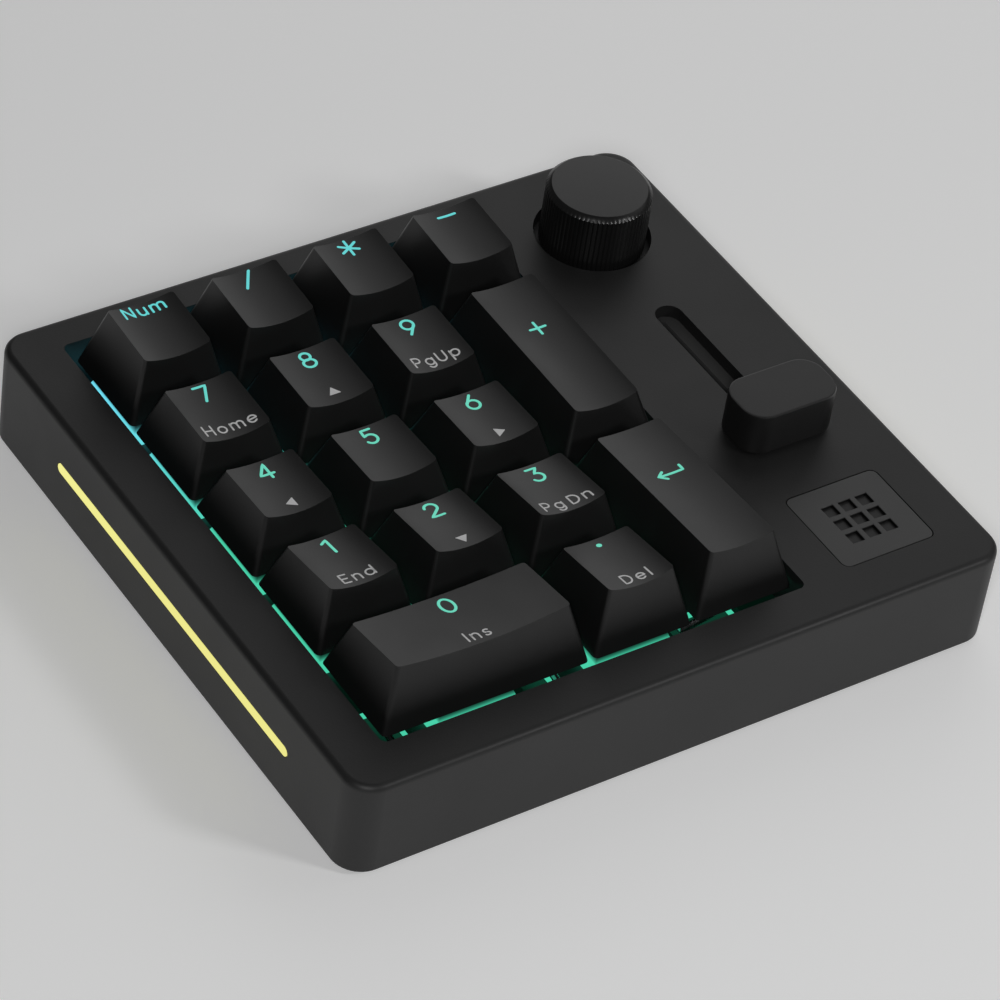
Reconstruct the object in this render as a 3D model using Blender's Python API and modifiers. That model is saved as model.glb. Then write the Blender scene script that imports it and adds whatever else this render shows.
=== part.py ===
"""Numeric keypad with a turn-and-press knob, a slide control and a badge plate.

Metres, +Z up. The origin is at the centre of the footprint, on the surface that the feet stand on.
+X runs to the right along the key rows and +Y to the back. Every key is modelled around its own
press axis, with heights counted from the top of the deck.
"""

import math
from collections import namedtuple

import bmesh
import bpy
from mathutils import Matrix, Vector

MM = 0.001

# Gaps between pieces: resting on each other, sliding in each other, and trim let into a shell.
REST_GAP = 0.3 * MM
SLIDE_GAP = 0.15 * MM
TRIM_GAP = 0.15 * MM
OVERLAP = 0.5 * MM  # how far a joined shape reaches into its neighbour, and a cutter past a face
MERGE_DISTANCE = 0.001 * MM

# Facets round a full turn: bores and shafts, bosses, and small pins and posts
SHAFT_FACETS = 24
BOSS_FACETS = 16
PIN_FACETS = 12

# Case
CASE_WIDTH = 121.1 * MM
CASE_DEPTH = 112.5 * MM
CASE_CORNER = 5.0 * MM
CASE_CORNER_SEGMENTS = 12
CASE_EDGE = 1.2 * MM
CASE_EDGE_SEGMENTS = 4
CASE_WALL = 2.4 * MM
CASE_BOTTOM = 1.1 * MM
DECK_TOP = 19.0 * MM
COVER_WALL = 1.2 * MM  # wall left outside the rebate that the bottom cover sits in
COVER_THICKNESS = 1.9 * MM
COVER_TOP = CASE_BOTTOM + COVER_THICKNESS

# Key well and what lies under it
GRID_CENTRE = Vector((-12.05, 1.35, 0.0)) * MM
WELL_LEFT = -51.55 * MM
WELL_RIGHT = 26.15 * MM
WELL_FRONT = -48.4 * MM
WELL_BACK = 50.05 * MM
WELL_CORNER = 1.2 * MM
WELL_WALL = 1.5 * MM
PLATE_TOP = DECK_TOP - 8.4 * MM
PLATE_THICKNESS = 1.5 * MM
PAD_THICKNESS = 1.2 * MM
BOARD_TOP = DECK_TOP - 13.4 * MM
BOARD_THICKNESS = 1.6 * MM
BOARD_MARGIN = 0.8 * MM
BOARD_REST_RADIUS = 2.5 * MM
BOARD_REST_COLUMNS = (-50.0 * MM, -12.0 * MM, 28.0 * MM, 52.0 * MM)
BOARD_REST_ROWS = (-30.0 * MM, 0.0 * MM, 30.0 * MM)

# Controller, its crystal, the light driver and a plug-on connector: place, size and height.
CHIPS = (
    (32.5 * MM, 6.0 * MM, 7.0 * MM, 7.0 * MM, 0.9 * MM),
    (32.5 * MM, -3.0 * MM, 3.2 * MM, 2.5 * MM, 0.8 * MM),
    (32.5 * MM, -14.0 * MM, 5.0 * MM, 6.4 * MM, 1.2 * MM),
    (43.0 * MM, -40.0 * MM, 12.0 * MM, 4.5 * MM, 3.0 * MM),
)

# Keys
KEY_PITCH = 19.05 * MM
KEY_SPACING = 0.95 * MM  # clear width between two neighbouring skirts
KEY_TRAVEL = 4.0 * MM
SKIRT_DROP = 2.2 * MM
SIDE_LEAN = 3.06 * MM  # how far each side leans in from skirt to top
CAP_CORNER = 1.4 * MM
CAP_WALL = 1.3 * MM
CAP_ROOF = 1.5 * MM
DISH_FACETS = 8
POST_RADIUS = 2.75 * MM
POST_BOTTOM = -1.6 * MM

# A cap's size in key units, its top face from front to back, the heights of that face's front and
# back edge above the deck, and how deep its finger dish is.
CapShape = namedtuple("CapShape", "wide deep front_y back_y front_z back_z dish")
CAP_SHAPES = {
    "top_row": CapShape(1, 1, -6.55 * MM, 5.83 * MM, 8.68 * MM, 9.42 * MM, 0.95 * MM),
    "upper_row": CapShape(1, 1, -6.33 * MM, 6.32 * MM, 7.01 * MM, 7.29 * MM, 0.95 * MM),
    "middle_row": CapShape(1, 1, -6.14 * MM, 6.29 * MM, 6.94 * MM, 6.37 * MM, 0.95 * MM),
    "lower_row": CapShape(1, 1, -6.02 * MM, 6.70 * MM, 8.13 * MM, 6.15 * MM, 0.95 * MM),
    "bottom_row": CapShape(1, 1, -5.92 * MM, 6.80 * MM, 8.54 * MM, 6.46 * MM, 0.95 * MM),
    "zero": CapShape(2, 1, -5.92 * MM, 6.80 * MM, 8.54 * MM, 6.46 * MM, 1.0 * MM),
    "plus": CapShape(1, 2, -15.6 * MM, 15.9 * MM, 6.94 * MM, 7.2 * MM, 0.9 * MM),
    "enter": CapShape(1, 2, -15.3 * MM, 16.4 * MM, 8.4 * MM, 6.1 * MM, 0.6 * MM),
}

# Name, cap shape, and the key's column and row, counted in key pitches from the block's centre.
KEYS = (
    ("num_lock", "top_row", -1.5, 2),
    ("divide", "top_row", -0.5, 2),
    ("multiply", "top_row", 0.5, 2),
    ("minus", "top_row", 1.5, 2),
    ("7", "upper_row", -1.5, 1),
    ("8", "upper_row", -0.5, 1),
    ("9", "upper_row", 0.5, 1),
    ("plus", "plus", 1.5, 0.5),
    ("4", "middle_row", -1.5, 0),
    ("5", "middle_row", -0.5, 0),
    ("6", "middle_row", 0.5, 0),
    ("1", "lower_row", -1.5, -1),
    ("2", "lower_row", -0.5, -1),
    ("3", "lower_row", 0.5, -1),
    ("enter", "enter", 1.5, -1.5),
    ("0", "zero", -1, -2),
    ("decimal", "bottom_row", 0.5, -2),
)

# Switches
CROSS_LENGTH = 4.0 * MM
CROSS_WIDTH = 1.2 * MM
STEM_TOP = 1.8 * MM
SHOULDER_TOP = -1.9 * MM
SHOULDER_WIDTH = 6.8 * MM
SHOULDER_DEPTH = 5.8 * MM
STEM_BOTTOM = -8.1 * MM
HOUSING_FLANGE = 15.6 * MM
HOUSING_CROWN = 10.4 * MM
HOUSING_BODY = 13.4 * MM
HOUSING_TOP = -1.8 * MM
PLATE_HOLE = 14.0 * MM

# Stabilisers under the double-length keys
STAB_REACH = 11.9 * MM  # from the key's centre to each hanger
STAB_ARM = 8.8 * MM
STAB_RADIUS = 0.8 * MM
STAB_BAR_OFFSET = 8.69 * MM
STAB_BAR_HEIGHT = -7.4 * MM
STAB_ARM_POSITION = 14.9 * MM
STAB_HOOK_TIP = 10.2 * MM
STAB_TILT = math.asin(KEY_TRAVEL / 2 / STAB_ARM)
HOOK_HEIGHT = STAB_BAR_HEIGHT + KEY_TRAVEL / 2
HANGER_WIDTH = 2.4 * MM
HANGER_DEPTH = 4.8 * MM
HANGER_HOLE = 2.4 * MM
HANGER_SILL = 0.6 * MM  # left under the eye
SADDLE_DEPTH = 3.4 * MM
SADDLE_TOP = STAB_BAR_HEIGHT + 0.7 * MM
WIRE_ROUNDNESS = 2

# Knob and its encoder
KNOB_X = 43.1 * MM
KNOB_Y = 38.15 * MM
KNOB_RADIUS = 9.0 * MM
KNOB_CHAMFER = 0.85 * MM
KNOB_TOP = 10.1 * MM
KNOB_BOTTOM = -1.6 * MM
KNOB_HOLE_RADIUS = 10.0 * MM
KNOB_WELL_DEPTH = 2.6 * MM
KNOB_WELL_WALL = 1.8 * MM
KNOB_SEGMENTS = 72
SHAFT_RADIUS = 3.0 * MM
SHAFT_FLAT = 2.1 * MM  # from the axis to the flat
SHAFT_TOP = 6.0 * MM
ENCODER_SIZE = 12.0 * MM
ENCODER_TOP = -6.0 * MM
ENCODER_CORNER = 0.6 * MM
ENCODER_FLOOR = 1.0 * MM
ROTOR_RADIUS = 4.7 * MM

# Slide control
SLIDER_X = 43.1 * MM
SLIDER_REST_Y = -15.55 * MM
SLIDER_TRAVEL = 30.0 * MM
SLIDER_WIDTH = 18.0 * MM
SLIDER_DEPTH = 10.4 * MM
SLIDER_CORNER = 4.0 * MM
SLIDER_TOP = 8.4 * MM
SLIDER_BOTTOM = 0.5 * MM
SLIDER_EDGE = 0.4 * MM
SLOT_WIDTH = 4.9 * MM
SLOT_END_CLEARANCE = 0.6 * MM
BLADE_WIDTH = 1.4 * MM
BLADE_LENGTH = 4.4 * MM
BLADE_TOP = 4.5 * MM
FADER_WIDTH = 8.6 * MM
FADER_TOP = -3.4 * MM
FADER_WALL = 1.6 * MM
CARRIAGE_WIDTH = 4.8 * MM
CARRIAGE_LENGTH = 8.0 * MM
CARRIAGE_TOP = -5.2 * MM
CARRIAGE_BOTTOM = -10.6 * MM

# Trim
BADGE_CENTRE = Vector((43.05, -39.25, 0.0)) * MM
BADGE_WIDTH = 17.7 * MM
BADGE_DEPTH = 17.1 * MM
BADGE_CORNER = 1.3 * MM
BADGE_THICKNESS = 1.2 * MM
MARK_PITCH = 3.3 * MM
MARK_SIZE = 2.3 * MM
MARK_DEPTH = 0.5 * MM
LIGHT_LENGTH = 70.9 * MM
LIGHT_HEIGHT = 1.8 * MM
LIGHT_THICKNESS = 3.0 * MM
LIGHT_Y = -1.6 * MM
LIGHT_Z = 10.1 * MM

# Socket, fasteners and feet
USB_X = 38.0 * MM
USB_WIDTH = 8.94 * MM
USB_HEIGHT = 3.26 * MM
USB_LENGTH = 7.6 * MM
USB_WALL = 0.3 * MM
USB_RECESS = 0.4 * MM
USB_FLOOR = 1.0 * MM
TONGUE_WIDTH = 6.7 * MM
TONGUE_THICKNESS = 0.7 * MM
TONGUE_SETBACK = 0.8 * MM
SCREW_X = 55.55 * MM
SCREW_Y = 51.25 * MM
SCREW_RADIUS = 1.1 * MM
SCREW_HEAD_RADIUS = 2.0 * MM
SCREW_HEAD_HEIGHT = 0.8 * MM
SCREW_TIP = 9.0 * MM
SCREW_TAPER = 0.3 * MM
SCREW_HEAD_BOTTOM = CASE_BOTTOM + 0.1 * MM
SCREW_SOCKET_RADIUS = 0.9 * MM
SCREW_SOCKET_DEPTH = 0.5 * MM
BOSS_RADIUS = 3.0 * MM
FOOT_LENGTH = 90.0 * MM
FOOT_WIDTH = 9.0 * MM
FOOT_Y = 42.0 * MM
FOOT_RECESS = 0.8 * MM

# Finishes: base colour, roughness and metallic value
FINISHES = {
    "case_satin_black": ((0.040, 0.040, 0.040), 0.50, 0.0),
    "keycap_black": ((0.028, 0.028, 0.029), 0.45, 0.0),
    "switch_clear_grey": ((0.10, 0.11, 0.11), 0.30, 0.0),
    "stem_red": ((0.35, 0.03, 0.03), 0.40, 0.0),
    "plate_steel": ((0.08, 0.08, 0.085), 0.40, 1.0),
    "board_green": ((0.010, 0.045, 0.030), 0.45, 0.0),
    "bright_steel": ((0.60, 0.60, 0.62), 0.25, 1.0),
    "knob_black": ((0.030, 0.030, 0.031), 0.35, 0.0),
    "slider_black": ((0.030, 0.030, 0.031), 0.42, 0.0),
    "badge_grey": ((0.070, 0.070, 0.070), 0.40, 0.0),
    "light_cream": ((0.90, 0.88, 0.45), 0.30, 0.0),
    "foot_rubber": ((0.015, 0.015, 0.015), 0.85, 0.0),
}


# ---------------------------------------------------------------- scene, materials and objects


def clear_scene():
    for obj in list(bpy.data.objects):
        bpy.data.objects.remove(obj)


def new_collection(name):
    collection = bpy.data.collections.new(name)
    bpy.context.scene.collection.children.link(collection)
    return collection


def new_material(name):
    colour, roughness, metallic = FINISHES[name]
    material = bpy.data.materials.new(name)
    material.use_nodes = True
    shader = material.node_tree.nodes["Principled BSDF"]
    shader.inputs["Base Color"].default_value = (*colour, 1.0)
    shader.inputs["Roughness"].default_value = roughness
    shader.inputs["Metallic"].default_value = metallic
    material.diffuse_color = (*colour, 1.0)
    return material


def add_part(name, mesh, finish, location=(0.0, 0.0, 0.0), parent=None):
    """A node of the model, with a material of its own."""
    obj = bpy.data.objects.new(name, mesh)
    PARTS.objects.link(obj)
    obj.location = location
    obj.parent = parent
    if not mesh.materials:
        mesh.materials.append(new_material(finish))
    return obj


def add_axis(name, location, parent=None):
    """An empty on the axis of a moving body."""
    empty = bpy.data.objects.new(name, None)
    PARTS.objects.link(empty)
    empty.empty_display_size = 5 * MM
    empty.location = location
    empty.parent = parent
    return empty


def add_helper(name, mesh):
    """A cutter, an addition or a pattern piece, which isn't part of the model itself."""
    obj = bpy.data.objects.new(name, mesh)
    HELPERS.objects.link(obj)
    obj.hide_render = True
    obj.display_type = "WIRE"
    return obj


def combine(obj, operation, mesh):
    """A live Boolean modifier on obj with a helper made from mesh, which is in obj's own frame."""
    helper = add_helper(f"{obj.name}_{mesh.name}", mesh)
    helper.location = obj.location
    helper.parent = obj.parent
    modifier = obj.modifiers.new(mesh.name, "BOOLEAN")
    modifier.operation = operation
    modifier.solver = "EXACT"
    modifier.object = helper


def cut(obj, mesh):
    combine(obj, "DIFFERENCE", mesh)


def join(obj, mesh):
    combine(obj, "UNION", mesh)


def evaluated_mesh(obj):
    """The mesh that obj's modifiers give, for copies that share it."""
    bpy.context.view_layer.update()
    graph = bpy.context.evaluated_depsgraph_get()
    mesh = bpy.data.meshes.new_from_object(obj.evaluated_get(graph))
    mesh.name = obj.name
    return mesh


def shade_round(mesh, angle=35):
    mesh.shade_smooth()
    mesh.set_sharp_from_angle(angle=math.radians(angle))


# ---------------------------------------------------------------- basic shapes


def mesh_of(name, bm):
    bmesh.ops.recalc_face_normals(bm, faces=bm.faces)
    mesh = bpy.data.meshes.new(name)
    bm.to_mesh(mesh)
    bm.free()
    return mesh


def joined_mesh(name, meshes):
    """Several separate shapes in one mesh."""
    bm = bmesh.new()
    for mesh in meshes:
        bm.from_mesh(mesh)
    return mesh_of(name, bm)


def block_mesh(name, low, high, corner=0.0, segments=8):
    """A box between two opposite corners, whose upright edges can be rounded."""
    bm = bmesh.new()
    bmesh.ops.create_cube(bm, size=1.0)
    upright = [edge for edge in bm.edges if edge.verts[0].co.z * edge.verts[1].co.z < 0]
    bmesh.ops.scale(bm, vec=Vector(high) - Vector(low), verts=bm.verts)
    bmesh.ops.translate(bm, vec=(Vector(high) + Vector(low)) / 2, verts=bm.verts)
    if corner:
        bmesh.ops.bevel(
            bm, geom=upright, offset=corner, segments=segments, profile=0.5, affect="EDGES"
        )
        bmesh.ops.remove_doubles(bm, verts=bm.verts, dist=MERGE_DISTANCE)
    return mesh_of(name, bm)


def centred_block_mesh(name, centre, width, depth, bottom, top, corner=0.0, segments=8):
    """A block around an upright axis through centre."""
    low = (centre[0] - width / 2, centre[1] - depth / 2, bottom)
    high = (centre[0] + width / 2, centre[1] + depth / 2, top)
    return block_mesh(name, low, high, corner, segments)


def tapered_mesh(name, foot, head, corner=0.0, segments=2):
    """A leaning block. foot and head are (half width, front y, back y, front z, back z)."""
    bm = bmesh.new()
    bmesh.ops.create_cube(bm, size=2.0)
    upright = [edge for edge in bm.edges if edge.verts[0].co.z * edge.verts[1].co.z < 0]
    for vert in bm.verts:
        half_width, front_y, back_y, front_z, back_z = head if vert.co.z > 0 else foot
        x = math.copysign(half_width, vert.co.x)
        vert.co = (x, back_y, back_z) if vert.co.y > 0 else (x, front_y, front_z)
    if corner:
        bmesh.ops.bevel(
            bm, geom=upright, offset=corner, segments=segments, profile=0.5, affect="EDGES"
        )
    return mesh_of(name, bm)


def cylinder_mesh(name, centre, radius, bottom, top, segments=SHAFT_FACETS):
    bm = bmesh.new()
    bmesh.ops.create_cone(
        bm,
        cap_ends=True,
        segments=segments,
        radius1=radius,
        radius2=radius,
        depth=top - bottom,
        matrix=Matrix.Translation((centre[0], centre[1], (top + bottom) / 2)),
    )
    return mesh_of(name, bm)


def add_turned(name, profile, finish, segments, location, parent=None):
    """A solid turned about its own upright axis. profile runs down the outer side, top to bottom."""
    bm = bmesh.new()
    verts = [bm.verts.new((radius, 0.0, height)) for radius, height in profile]
    for above, below in zip(verts, verts[1:]):
        bm.edges.new((above, below))
    mesh = bpy.data.meshes.new(name)
    bm.to_mesh(mesh)
    bm.free()
    obj = add_part(name, mesh, finish, location, parent)
    screw = obj.modifiers.new("turn", "SCREW")
    screw.steps = segments
    screw.render_steps = segments
    screw.use_merge_vertices = True
    screw.merge_threshold = MERGE_DISTANCE
    screw.use_smooth_shade = False
    return obj


# ---------------------------------------------------------------- keys


def key_centre(column, row):
    return GRID_CENTRE + Vector((column * KEY_PITCH, row * KEY_PITCH, 0.0))


def half_size(shape):
    """Half the width and half the depth of a cap's skirt."""
    return (shape.wide * KEY_PITCH - KEY_SPACING) / 2, (shape.deep * KEY_PITCH - KEY_SPACING) / 2


def lean(foot, head, head_level, level):
    """Where a side that leans from foot, at the skirt, to head, at head_level, is at level."""
    return foot + (head - foot) * (level + SKIRT_DROP) / (head_level + SKIRT_DROP)


def roof_height(shape):
    """Underside of the cap's roof."""
    return min(shape.front_z, shape.back_z) - shape.dish - CAP_ROOF


def cavity_mesh(shape):
    """The hollow inside a cap, one wall in from its sides."""
    half_x, half_y = half_size(shape)
    roof = roof_height(shape)
    lowest = -SKIRT_DROP - OVERLAP
    low_head = min(shape.front_z, shape.back_z)
    foot = (half_x - CAP_WALL, CAP_WALL - half_y, half_y - CAP_WALL, lowest, lowest)
    head = (
        lean(half_x, half_x - SIDE_LEAN, low_head, roof) - CAP_WALL,
        lean(-half_y, shape.front_y, shape.front_z, roof) + CAP_WALL,
        lean(half_y, shape.back_y, shape.back_z, roof) - CAP_WALL,
        roof,
        roof,
    )
    return tapered_mesh("cavity", foot, head)


def dish_mesh(shape):
    """The round bar that the finger dish is the print of, laid along the top face."""
    half_x = half_size(shape)[0] - SIDE_LEAN
    radius = (half_x**2 + shape.dish**2) / (2 * shape.dish)
    facets_round = DISH_FACETS * math.pi / math.asin(half_x / radius)
    run = shape.back_y - shape.front_y
    slope = math.atan2(shape.back_z - shape.front_z, run)
    middle = Vector((0.0, shape.front_y + shape.back_y, shape.front_z + shape.back_z)) / 2
    tilt = Matrix.Rotation(slope, 4, "X")
    along_y = Matrix.Rotation(math.pi / 2, 4, "X")
    lift = Matrix.Translation((0.0, 0.0, radius - shape.dish))
    bm = bmesh.new()
    bmesh.ops.create_cone(
        bm,
        cap_ends=True,
        segments=4 * round(facets_round / 4),
        radius1=radius,
        radius2=radius,
        depth=2 * run,
        matrix=Matrix.Translation(middle) @ tilt @ lift @ along_y,
    )
    return mesh_of("dish", bm)


def along(shape, distance, across=0.0):
    """A point at a distance from the key's centre along its longer side."""
    return (distance, across) if shape.wide > 1 else (across, distance)


def along_size(shape, length, depth):
    return (length, depth) if shape.wide > 1 else (depth, length)


def hanger_meshes(shape, roof):
    """The two legs that hold the stabiliser's hooks, and the eyes through them."""
    legs = []
    eyes = []
    for side in (-1, 1):
        centre = along(shape, side * STAB_REACH)
        width, depth = along_size(shape, HANGER_WIDTH, HANGER_DEPTH)
        bottom = HOOK_HEIGHT - HANGER_HOLE / 2 - HANGER_SILL
        legs.append(centred_block_mesh("leg", centre, width, depth, bottom, roof + OVERLAP))
        width, depth = along_size(shape, HANGER_WIDTH + 2 * OVERLAP, HANGER_HOLE)
        low = HOOK_HEIGHT - HANGER_HOLE / 2
        eyes.append(centred_block_mesh("eye", centre, width, depth, low, low + HANGER_HOLE))
    return joined_mesh("hangers", legs), joined_mesh("eyes", eyes)


def cross_meshes(name, length, width, bottom, top):
    """The two bars of the cross that a cap and a switch stem share."""
    origin = (0.0, 0.0)
    return (
        centred_block_mesh(name + "_x", origin, length, width, bottom, top),
        centred_block_mesh(name + "_y", origin, width, length, bottom, top),
    )


def keycap_mesh(name, shape):
    half_x, half_y = half_size(shape)
    roof = roof_height(shape)
    foot = (half_x, -half_y, half_y, -SKIRT_DROP, -SKIRT_DROP)
    head = (half_x - SIDE_LEAN, shape.front_y, shape.back_y, shape.front_z, shape.back_z)
    pattern = add_helper(f"cap_{name}", tapered_mesh("outside", foot, head, CAP_CORNER))
    cut(pattern, cavity_mesh(shape))
    post_top = roof + OVERLAP
    join(pattern, cylinder_mesh("post", (0, 0), POST_RADIUS, POST_BOTTOM, post_top, PIN_FACETS))
    if shape.wide + shape.deep > 2:
        hangers, eyes = hanger_meshes(shape, roof)
        join(pattern, hangers)
        cut(pattern, eyes)
    socket_top = STEM_TOP + REST_GAP
    wider = 2 * SLIDE_GAP
    for bar in cross_meshes(
        "socket", CROSS_LENGTH + wider, CROSS_WIDTH + wider, POST_BOTTOM - OVERLAP, socket_top
    ):
        cut(pattern, bar)
    cut(pattern, dish_mesh(shape))
    mesh = evaluated_mesh(pattern)
    shade_round(mesh, 25)
    return mesh


def stem_mesh():
    shoulder = centred_block_mesh(
        "shoulder", (0, 0), SHOULDER_WIDTH, SHOULDER_DEPTH, STEM_BOTTOM, SHOULDER_TOP
    )
    pattern = add_helper("stem", shoulder)
    for bar in cross_meshes("cross", CROSS_LENGTH, CROSS_WIDTH, SHOULDER_TOP - OVERLAP, STEM_TOP):
        join(pattern, bar)
    return evaluated_mesh(pattern)


def make_keys():
    caps = {name: keycap_mesh(name, shape) for name, shape in CAP_SHAPES.items()}
    stem = stem_mesh()
    for name, shape, column, row in KEYS:
        centre = key_centre(column, row)
        press = add_axis(f"press_{name}", (centre.x, centre.y, DECK_TOP))
        add_part(f"keycap_{name}", caps[shape], "keycap_black", parent=press)
        add_part(f"stem_{name}", stem, "stem_red", parent=press)


# ---------------------------------------------------------------- stabiliser wires


def wire_mesh():
    """A wire bent to a wide U with turned-in hooks: its long bar lies on the mesh's X axis."""
    reach = STAB_ARM * math.cos(STAB_TILT)
    rise = STAB_ARM * math.sin(STAB_TILT)
    half = [
        (STAB_HOOK_TIP, reach, rise),
        (STAB_ARM_POSITION, reach, rise),
        (STAB_ARM_POSITION, 0.0, 0.0),
    ]
    route = [(-x, y, z) for x, y, z in half] + half[::-1]
    curve = bpy.data.curves.new("stabiliser_route", "CURVE")
    curve.dimensions = "3D"
    curve.bevel_depth = STAB_RADIUS
    curve.bevel_resolution = WIRE_ROUNDNESS
    curve.use_fill_caps = True
    spline = curve.splines.new("POLY")
    spline.points.add(len(route) - 1)
    for point, place in zip(spline.points, route):
        point.co = (*place, 1.0)
    guide = add_helper("stabiliser_route", curve)
    bm = bmesh.new()
    bm.from_mesh(evaluated_mesh(guide))
    bmesh.ops.remove_doubles(bm, verts=bm.verts, dist=MERGE_DISTANCE)
    bpy.data.objects.remove(guide)
    mesh = mesh_of("stabiliser", bm)
    shade_round(mesh)
    return mesh


def double_keys():
    """Name, shape and centre of each key that has a stabiliser."""
    for name, shape_name, column, row in KEYS:
        shape = CAP_SHAPES[shape_name]
        if shape.wide + shape.deep > 2:
            yield name, shape, key_centre(column, row)


def make_stabilisers():
    mesh = wire_mesh()
    for name, shape, centre in double_keys():
        across = Vector((*along(shape, 0.0, -STAB_BAR_OFFSET), 0.0))
        place = centre + across + Vector((0.0, 0.0, DECK_TOP + STAB_BAR_HEIGHT))
        wire = add_part(f"stabiliser_{name}", mesh, "bright_steel", place)
        if shape.deep > 1:
            wire.rotation_euler.z = -math.pi / 2


def stabiliser_windows(bottom, top):
    """Openings that the hooks and hangers of the double keys sink into."""
    windows = []
    for _, shape, centre in double_keys():
        for side in (-1, 1):
            inner = STAB_HOOK_TIP - SLIDE_GAP
            outer = STAB_ARM_POSITION + STAB_RADIUS + 2 * REST_GAP
            front = -STAB_BAR_OFFSET - STAB_RADIUS - REST_GAP
            back = HANGER_DEPTH / 2 + 2 * REST_GAP
            point = along(shape, side * (inner + outer) / 2, (front + back) / 2)
            width, depth = along_size(shape, outer - inner, back - front)
            place = (centre.x + point[0], centre.y + point[1])
            windows.append(centred_block_mesh("window", place, width, depth, bottom, top))
    return joined_mesh("windows", windows)


# ---------------------------------------------------------------- switch plate, pad and housings


def well_outline(name, grow, bottom, top):
    """The key well's outline, moved outwards by grow."""
    low = (WELL_LEFT - grow, WELL_FRONT - grow, bottom)
    high = (WELL_RIGHT + grow, WELL_BACK + grow, top)
    return block_mesh(name, low, high, WELL_CORNER + grow)


def saddle_meshes():
    """Small lugs on the plate that hold each stabiliser's bar, and the grooves it lies in."""
    lugs = []
    grooves = []
    top = DECK_TOP + SADDLE_TOP
    floor = DECK_TOP + STAB_BAR_HEIGHT - STAB_RADIUS - SLIDE_GAP
    start = HOUSING_FLANGE / 2 + REST_GAP
    end = STAB_HOOK_TIP - REST_GAP
    for _, shape, centre in double_keys():
        for side in (-1, 1):
            point = along(shape, side * (start + end) / 2, -STAB_BAR_OFFSET)
            place = (centre.x + point[0], centre.y + point[1])
            width, depth = along_size(shape, end - start, SADDLE_DEPTH)
            lug_bottom = PLATE_TOP - OVERLAP
            lugs.append(centred_block_mesh("lug", place, width, depth, lug_bottom, top))
            groove = 2 * (STAB_RADIUS + SLIDE_GAP)
            width, depth = along_size(shape, end - start + 2 * OVERLAP, groove)
            grooves.append(centred_block_mesh("groove", place, width, depth, floor, top + OVERLAP))
    return joined_mesh("lugs", lugs), joined_mesh("grooves", grooves)


def make_plate():
    bottom = PLATE_TOP - PLATE_THICKNESS
    plate = add_part(
        "switch_plate", well_outline("plate", WELL_WALL, bottom, PLATE_TOP), "plate_steel"
    )
    low = bottom - OVERLAP
    high = PLATE_TOP + OVERLAP
    hole = centred_block_mesh(
        "hole", (0, 0), PLATE_HOLE, PLATE_HOLE, low - DECK_TOP, high - DECK_TOP
    )
    cut(plate, at_every_key("switch_holes", hole))
    cut(plate, stabiliser_windows(low, high))
    lugs, grooves = saddle_meshes()
    join(plate, lugs)
    cut(plate, grooves)


def housing_mesh():
    """One switch housing: a square body with a crown that narrows upwards."""
    plate = PLATE_TOP - DECK_TOP + REST_GAP
    board = BOARD_TOP - DECK_TOP + REST_GAP
    body = centred_block_mesh(
        "body", (0, 0), HOUSING_BODY, HOUSING_BODY, board, plate + OVERLAP
    )
    pattern = add_helper("housing", body)
    flange = HOUSING_FLANGE / 2
    crown = HOUSING_CROWN / 2
    foot = (flange, -flange, flange, plate, plate)
    head = (crown, -crown, crown, HOUSING_TOP, HOUSING_TOP)
    join(pattern, tapered_mesh("crown", foot, head))
    return evaluated_mesh(pattern)


def stem_guide_mesh():
    """The pocket that a stem slides in."""
    floor = STEM_BOTTOM - KEY_TRAVEL - REST_GAP
    width = SHOULDER_WIDTH + 2 * REST_GAP
    depth = SHOULDER_DEPTH + 2 * REST_GAP
    return centred_block_mesh("guide", (0, 0), width, depth, floor, HOUSING_TOP + OVERLAP)


def at_every_key(name, mesh):
    """One mesh with a copy of mesh at each key's centre, its heights counted from the deck."""
    copies = []
    for _, _, column, row in KEYS:
        copy = mesh.copy()
        copy.transform(Matrix.Translation(key_centre(column, row) + Vector((0, 0, DECK_TOP))))
        copies.append(copy)
    return joined_mesh(name, copies)


def make_housings():
    """All the switch housings, held together by the pad between the plate and the board."""
    pad_top = PLATE_TOP - PLATE_THICKNESS - REST_GAP
    pad_bottom = pad_top - PAD_THICKNESS
    pad = well_outline("pad", 0.0, pad_bottom, pad_top)
    housings = add_part("switch_housings", pad, "switch_clear_grey")
    cut(housings, stabiliser_windows(pad_bottom - OVERLAP, pad_top + OVERLAP))
    join(housings, at_every_key("bodies", housing_mesh()))
    cut(housings, at_every_key("guides", stem_guide_mesh()))


# ---------------------------------------------------------------- case


def corners(x, y):
    return [(side_x * x, side_y * y) for side_x in (-1, 1) for side_y in (-1, 1)]


def case_block_mesh():
    """The upper case's outside: a block with round upright corners and a rounded deck edge."""
    low = (-CASE_WIDTH / 2, -CASE_DEPTH / 2, CASE_BOTTOM)
    high = (CASE_WIDTH / 2, CASE_DEPTH / 2, DECK_TOP)
    bm = bmesh.new()
    bm.from_mesh(block_mesh("case_box", low, high, CASE_CORNER, CASE_CORNER_SEGMENTS))
    deck = max(bm.faces, key=lambda face: face.calc_center_median().z)
    bmesh.ops.bevel(
        bm,
        geom=list(deck.edges),
        offset=CASE_EDGE,
        segments=CASE_EDGE_SEGMENTS,
        profile=0.5,
        affect="EDGES",
    )
    return mesh_of("case_outside", bm)


def slot_mesh(name, centre, length, width, bottom, top):
    """An upright block with round ends, long along Y."""
    return centred_block_mesh(name, centre, width, length, bottom, top, width / 2)


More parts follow.
